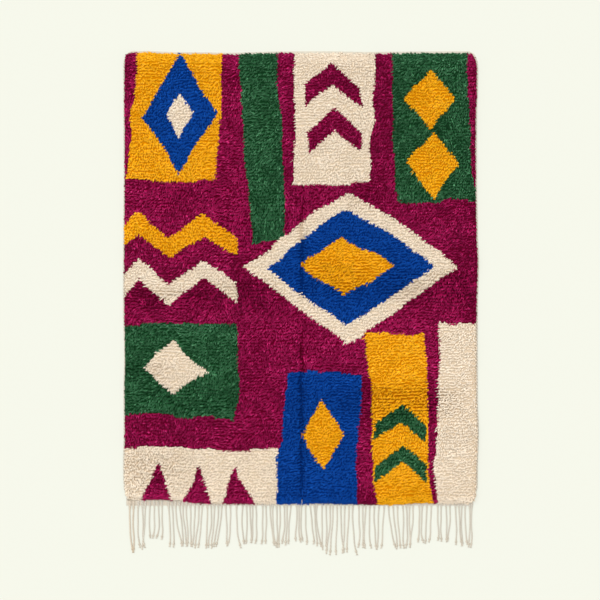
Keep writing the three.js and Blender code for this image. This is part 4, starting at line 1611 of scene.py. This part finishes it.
@dataclass
class Fringe:
    """The knotted warp ends, with the woven strip that they hang from."""

    survey: Survey
    strip_front: float
    strip_left: float
    strip_right: float
    strip_top: float = 3.2 * MM
    strip_cells: tuple[int, int] = (380, 8)
    rib: float = 5.2 * MM  # the width of the strip's ribs
    relief: float = 0.7 * MM  # and their height
    scallop: float = 3.0 * MM  # how far the strip's front draws in between two strands
    root_half: float = 5.0 * MM  # how wide it stands out at a strand, either way
    root_depth: float = 27.0 * MM
    half_width: float = 3.3 * MM
    width_uneven: float = 0.06
    pressed: float = 0.6  # how high it is for its width
    knot_place: float = 13.0 * MM  # from the tip of a strand to its knot
    knot_size: float = 3.3 * MM
    length_uneven: float = 5.0
    bow: float = 5.5 * MM
    wave: float = 2.0 * MM  # and how far it wanders in shorter waves
    stray: float = 5.0 * MM  # how far its tip lies off its even place
    curl: float = 10.0 * MM  # how far its last part curls aside
    step: float = 2.2 * MM  # how much higher its root lies, on the strip
    flare: float = 0.55  # how much wider its root is, where the warps come together
    rings: int = 32
    plies_out: float = 0.17
    ply_turns: float = 9.0
    frayed: int = 7  # threads at the end of a strand
    thread: float = 1.1 * MM  # half their width
    fan: float = 0.8  # how far they spread to either side, as a slope
    thread_reach: tuple[float, float] = (1.0, 5.0)  # how far past the strand they end, in millimetres
    thread_level: tuple[float, float] = (1.6, 3.2)  # and how high they start
    knot_rings: int = 22
    highest: float = 6.3 * MM
    stained: float = 1.12  # how much thicker the strands with a stain are

    def __post_init__(self) -> None:
        """Works out the strands' lines, from root to tip, and their tones."""
        self.lines, self.tones = self._lines()

    def build(self) -> list[bpy.types.Object]:
        """Makes the fringe.

        Returns:
            The strip, the strands and their ends.
        """
        warp = WarpFinish(turns=self.ply_turns).material()
        strip = dress(self._strip(), StripFinish().material())
        ends = (self._strands(), self._knots(), self._threads())
        return [strip] + [dress(piece, warp) for piece in ends]

    def _lines(self) -> tuple[Floats, Floats]:
        """Works out the line of every strand on the floor.

        Returns:
            For each strand its points from root to tip, and its tone.
        """
        share = np.linspace(0.0, 1.0, self.rings)
        lines, tones = [], []
        for place, bunch in enumerate(BUNCHES):
            for i in range(bunch.strands):
                number = len(lines)
                reach = (bunch.hang + self.length_uneven * uneven(number, 6)) * MM + self.root_depth
                root = (bunch.root + i * bunch.root_gap) * MM
                tip = (bunch.tip + i * bunch.tip_gap) * MM + self.stray * uneven(number, 9)
                x = root + (tip - root) * eased(share ** 1.5)
                x = x + self.bow * uneven(number, 5) * np.sin(math.pi * share)
                turns = share * (1.4 + 0.5 * uneven(number, 10)) + uneven(number, 11)
                x = x + self.wave * share * np.sin(math.tau * turns)
                x = x + self.curl * uneven(number, 12) * share ** 5
                y = self.strip_front + self.root_depth - reach * share
                lines.append(np.stack([x, y, np.full_like(x, self.half_width)], 1))
                tones.append(1.0 if place == 0 else 0.45 * uneven(number, 7))
        return np.array(lines), np.array(tones)

    def _strip(self) -> bpy.types.Object:
        """Makes the ribbed woven strip, whose back follows the pile's edge.

        Returns:
            The strip.
        """
        strip, u, v = flat_grid("woven_strip", *self.strip_cells)
        x = self.strip_left + u * (self.strip_right - self.strip_left)
        lines = np.linspace(self.strip_left + MM, self.strip_right - MM, 90)
        back = np.interp(x, lines, self.survey.edge(lines, 0.5 * self.strip_top, (0.0, -1.0)))
        away = np.abs(x[:, None] - self.lines[None, :, 0, 0]).min(axis=1)
        front = self.strip_front + self.scallop * (1.0 - np.exp(-(away / self.root_half) ** 2))
        thicken(strip, x, front + v * (back - front), self.strip_top - self.relief)
        points = points_of(strip.data)
        wander = 0.6 * SoftNoise(63, 0.03).at(points[:, 0], points[:, 1])
        ribs = np.abs(np.sin(points[:, 1] * math.pi / self.rib + wander))
        points[:, 2] += self.relief * ribs * (points[:, 2] > MM)
        set_points(strip.data, points)
        strip.data.shade_smooth()
        return strip

    def _strands(self) -> bpy.types.Object:
        """Lays a plied strand along every line.

        Returns:
            The strands as one piece.
        """
        shares = np.linspace(0.0, 1.0, self.rings)
        tube = Tube(8, tuple((share, 1.0) for share in shares))
        lines = self.lines.copy()
        thick_and_thin = SoftNoise(64, 0.012).at(lines[:, :, 0], lines[:, :, 1])
        width = self.half_width * (1.0 + self.width_uneven * thick_and_thin)
        width[self.tones > 0.9] *= self.stained
        lines[:, :, 2] = width * (1.0 + 0.5 * self.plies_out)
        rolled = math.tau * np.random.default_rng(65).random(len(lines))
        points = tube.laid(lines, width, rolled, 0.0, self.plies_out, self.ply_turns)
        points[:, :, 2] *= self.pressed
        ring = np.round(tube.share * (self.rings - 1)).astype(int)
        middle = lines[:, ring, 0]
        wider = 1.0 + self.flare * (1.0 - eased((tube.share - 0.11) / 0.12))
        points[:, :, 0] = middle + (points[:, :, 0] - middle) * wider
        points[:, :, 2] += self.step * (1.0 - eased(tube.share * 9.0 - 0.9))
        points[:, :, 2] = np.maximum(points[:, :, 2], FLOOR_GAP)
        return Copies("fringe_strands", tube, points, tube.share, self.tones).piece(len(lines), 1)

    def _knots(self) -> bpy.types.Object:
        """Ties an overhand knot near the end of every strand.

        Returns:
            The knots as one piece.
        """
        tube = Tube(4, tuple((share, 1.0) for share in np.linspace(0.0, 1.0, self.knot_rings)))
        turn = np.linspace(0.0, math.tau, self.knot_rings)
        loop = np.stack([np.sin(turn) + 2.0 * np.sin(2.0 * turn),
                         np.cos(turn) - 2.0 * np.cos(2.0 * turn),
                         -1.1 * np.sin(3.0 * turn)], 1) / 3.0
        paths = []
        for number, line in enumerate(self.lines):
            centre, heading = self._place_on(line)
            side = np.array([-heading[1], heading[0]])
            spun = loop[:, [0, 1]] * self.knot_size * (1.0 + 0.12 * uneven(number, 8))
            flat = centre + 1.15 * spun[:, :1] * heading + spun[:, 1:] * side
            height = self.knot_size * (0.85 + 0.4 * loop[:, 2])
            paths.append(np.column_stack([flat, height]))
        path = np.array(paths)
        width = np.full(path.shape[:2], 0.95 * self.knot_size)
        points = tube.laid(path, width, np.zeros(len(path)))
        points[:, :, 2] = np.clip(points[:, :, 2], FLOOR_GAP, self.highest)
        along = np.full(len(tube.share), KNOT_ALONG)
        return Copies("fringe_knots", tube, points, along, self.tones).piece(10, 9)

    def _place_on(self, line: Floats) -> tuple[Floats, Floats]:
        """Finds where the knot of a strand is.

        Args:
            line: The strand's line.

        Returns:
            The knot's place and the strand's heading there, both on the floor.
        """
        left = np.linalg.norm(line[:, :2] - line[-1, :2], axis=1)
        number = int(np.argmin(np.abs(left - self.knot_place)))
        heading = lengths_to_one(line[number, :2] - line[number - 1, :2])
        return line[number, :2], heading

    def _threads(self) -> bpy.types.Object:
        """Frays the end of every strand into a few loose threads.

        Returns:
            The threads as one piece.
        """
        rng = np.random.default_rng(66)
        shares = (0.0, 0.5, 1.0)
        tube = Tube(3, ((0.0, 1.0), (0.5, 0.9), (1.0, 0.0)))
        paths = []
        for line in self.lines:
            heading = lengths_to_one(line[-1, :2] - line[-3, :2])
            side = np.array([-heading[1], heading[0]])
            for _ in range(self.frayed):
                spread, reach = rng.uniform(-self.fan, self.fan), rng.uniform(*self.thread_reach) * MM
                start = line[-1, :2] - 3.0 * MM * heading + 2.6 * MM * spread * side
                away = lengths_to_one(heading + spread * side)
                bend = np.array([start + away * (3.0 * MM + reach) * share for share in shares])
                height = np.array([1.0, 0.75, 0.35]) * rng.uniform(*self.thread_level) * MM
                paths.append(np.column_stack([bend, height]))
        path = np.array(paths)
        width = np.full(path.shape[:2], self.thread)
        points = tube.laid(path, width, math.tau * rng.random(len(path)))
        points[:, :, 2] = np.maximum(points[:, :, 2], FLOOR_GAP)
        tones = np.repeat(self.tones, self.frayed)
        return Copies("fringe_ends", tube, points, np.ones(len(tube.share)), tones).piece(25, 24)


@dataclass
class Studio:
    """The pale floor, the soft light and the camera that looks straight down."""

    middle_x: float = -2.7 * MM
    middle_y: float = -100.2 * MM
    view_width: float = 2.708
    lens: float = 100.0
    sensor: float = 36.0
    floor_size: float = 150.0
    floor_drop: float = 0.4 * MM
    key_heading: tuple[float, float, float] = (0.75, -0.62, -1.0)  # the way the soft light shines
    key_strength: float = 1.25
    key_width: float = 40.0  # in degrees

    def build(self) -> None:
        """Sets up the floor, the lights, the camera and the plain way of showing colours."""
        self._floor()
        self._camera()
        self._lights()
        bpy.context.scene.view_settings.view_transform = "Standard"

    def _floor(self) -> None:
        """Lays the floor."""
        bpy.ops.object.select_all(action="DESELECT")
        bpy.ops.mesh.primitive_plane_add(size=self.floor_size, location=(0.0, 0.0, -self.floor_drop))
        floor = bpy.context.active_object
        floor.name = "studio_floor"
        floor.data.materials.append(FloorFinish().material())

    def _camera(self) -> None:
        """Hangs the camera over the rug's middle."""
        data = bpy.data.cameras.new("camera_above")
        data.lens, data.sensor_width = self.lens, self.sensor
        data.clip_end = 100.0
        camera = bpy.data.objects.new("camera_above", data)
        camera.location = (self.middle_x, self.middle_y, self.view_width * self.lens / self.sensor)
        bpy.context.scene.collection.objects.link(camera)
        bpy.context.scene.camera = camera

    def _lights(self) -> None:
        """Adds a wide soft light from the upper left, and an even light from all round."""
        world = bpy.data.worlds.new("even_light")
        world.use_nodes = True
        even = world.node_tree.nodes["Background"]
        even.inputs["Color"].default_value, even.inputs["Strength"].default_value = (1.0, 1.0, 1.0, 1.0), 1.0
        bpy.context.scene.world = world
        data = bpy.data.lights.new("soft_key", "SUN")
        data.energy, data.angle = self.key_strength, math.radians(self.key_width)
        key = bpy.data.objects.new("soft_key", data)
        key.rotation_euler = Vector(self.key_heading).to_track_quat("-Z", "Y").to_euler()
        bpy.context.scene.collection.objects.link(key)


def main() -> None:
    """Builds the rug and its studio in order, and says what each piece is."""
    logging.basicConfig(level=logging.INFO, format="%(message)s")
    Studio().build()
    body = Survey("pile_rug")
    pile_foot, weave_edge = Outline.measured(body, PILE_LEVEL), Outline.measured(body, WEAVE_LEVEL)
    design, nap = Design(), Nap(pile_foot)
    pile = Pile(body, Knots.tied(pile_foot, body, design), nap).build()
    ground = GroundWeave(weave_edge, body, design, nap).build()
    strip_low, strip_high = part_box("end_fringe")
    strip_ends = (strip_low.x, STRIP_RIGHT)
    cords = Selvedge(pile_foot, strip_ends).build()
    fringe = Fringe(Survey("end_fringe"), strip_high.y - STRIP_DEPTH, *strip_ends).build()
    for node, pieces in (("pile_rug", pile + [ground, cords]), ("end_fringe", fringe)):
        for piece in pieces:
            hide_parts(node)
            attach(piece, "root")
            triangles = sum(face.loop_total - 2 for face in piece.data.polygons)
            log.info("%s: %d triangles", piece.name, triangles)
    pile + [cords] + fringe


if __name__ == "__main__":
    main()
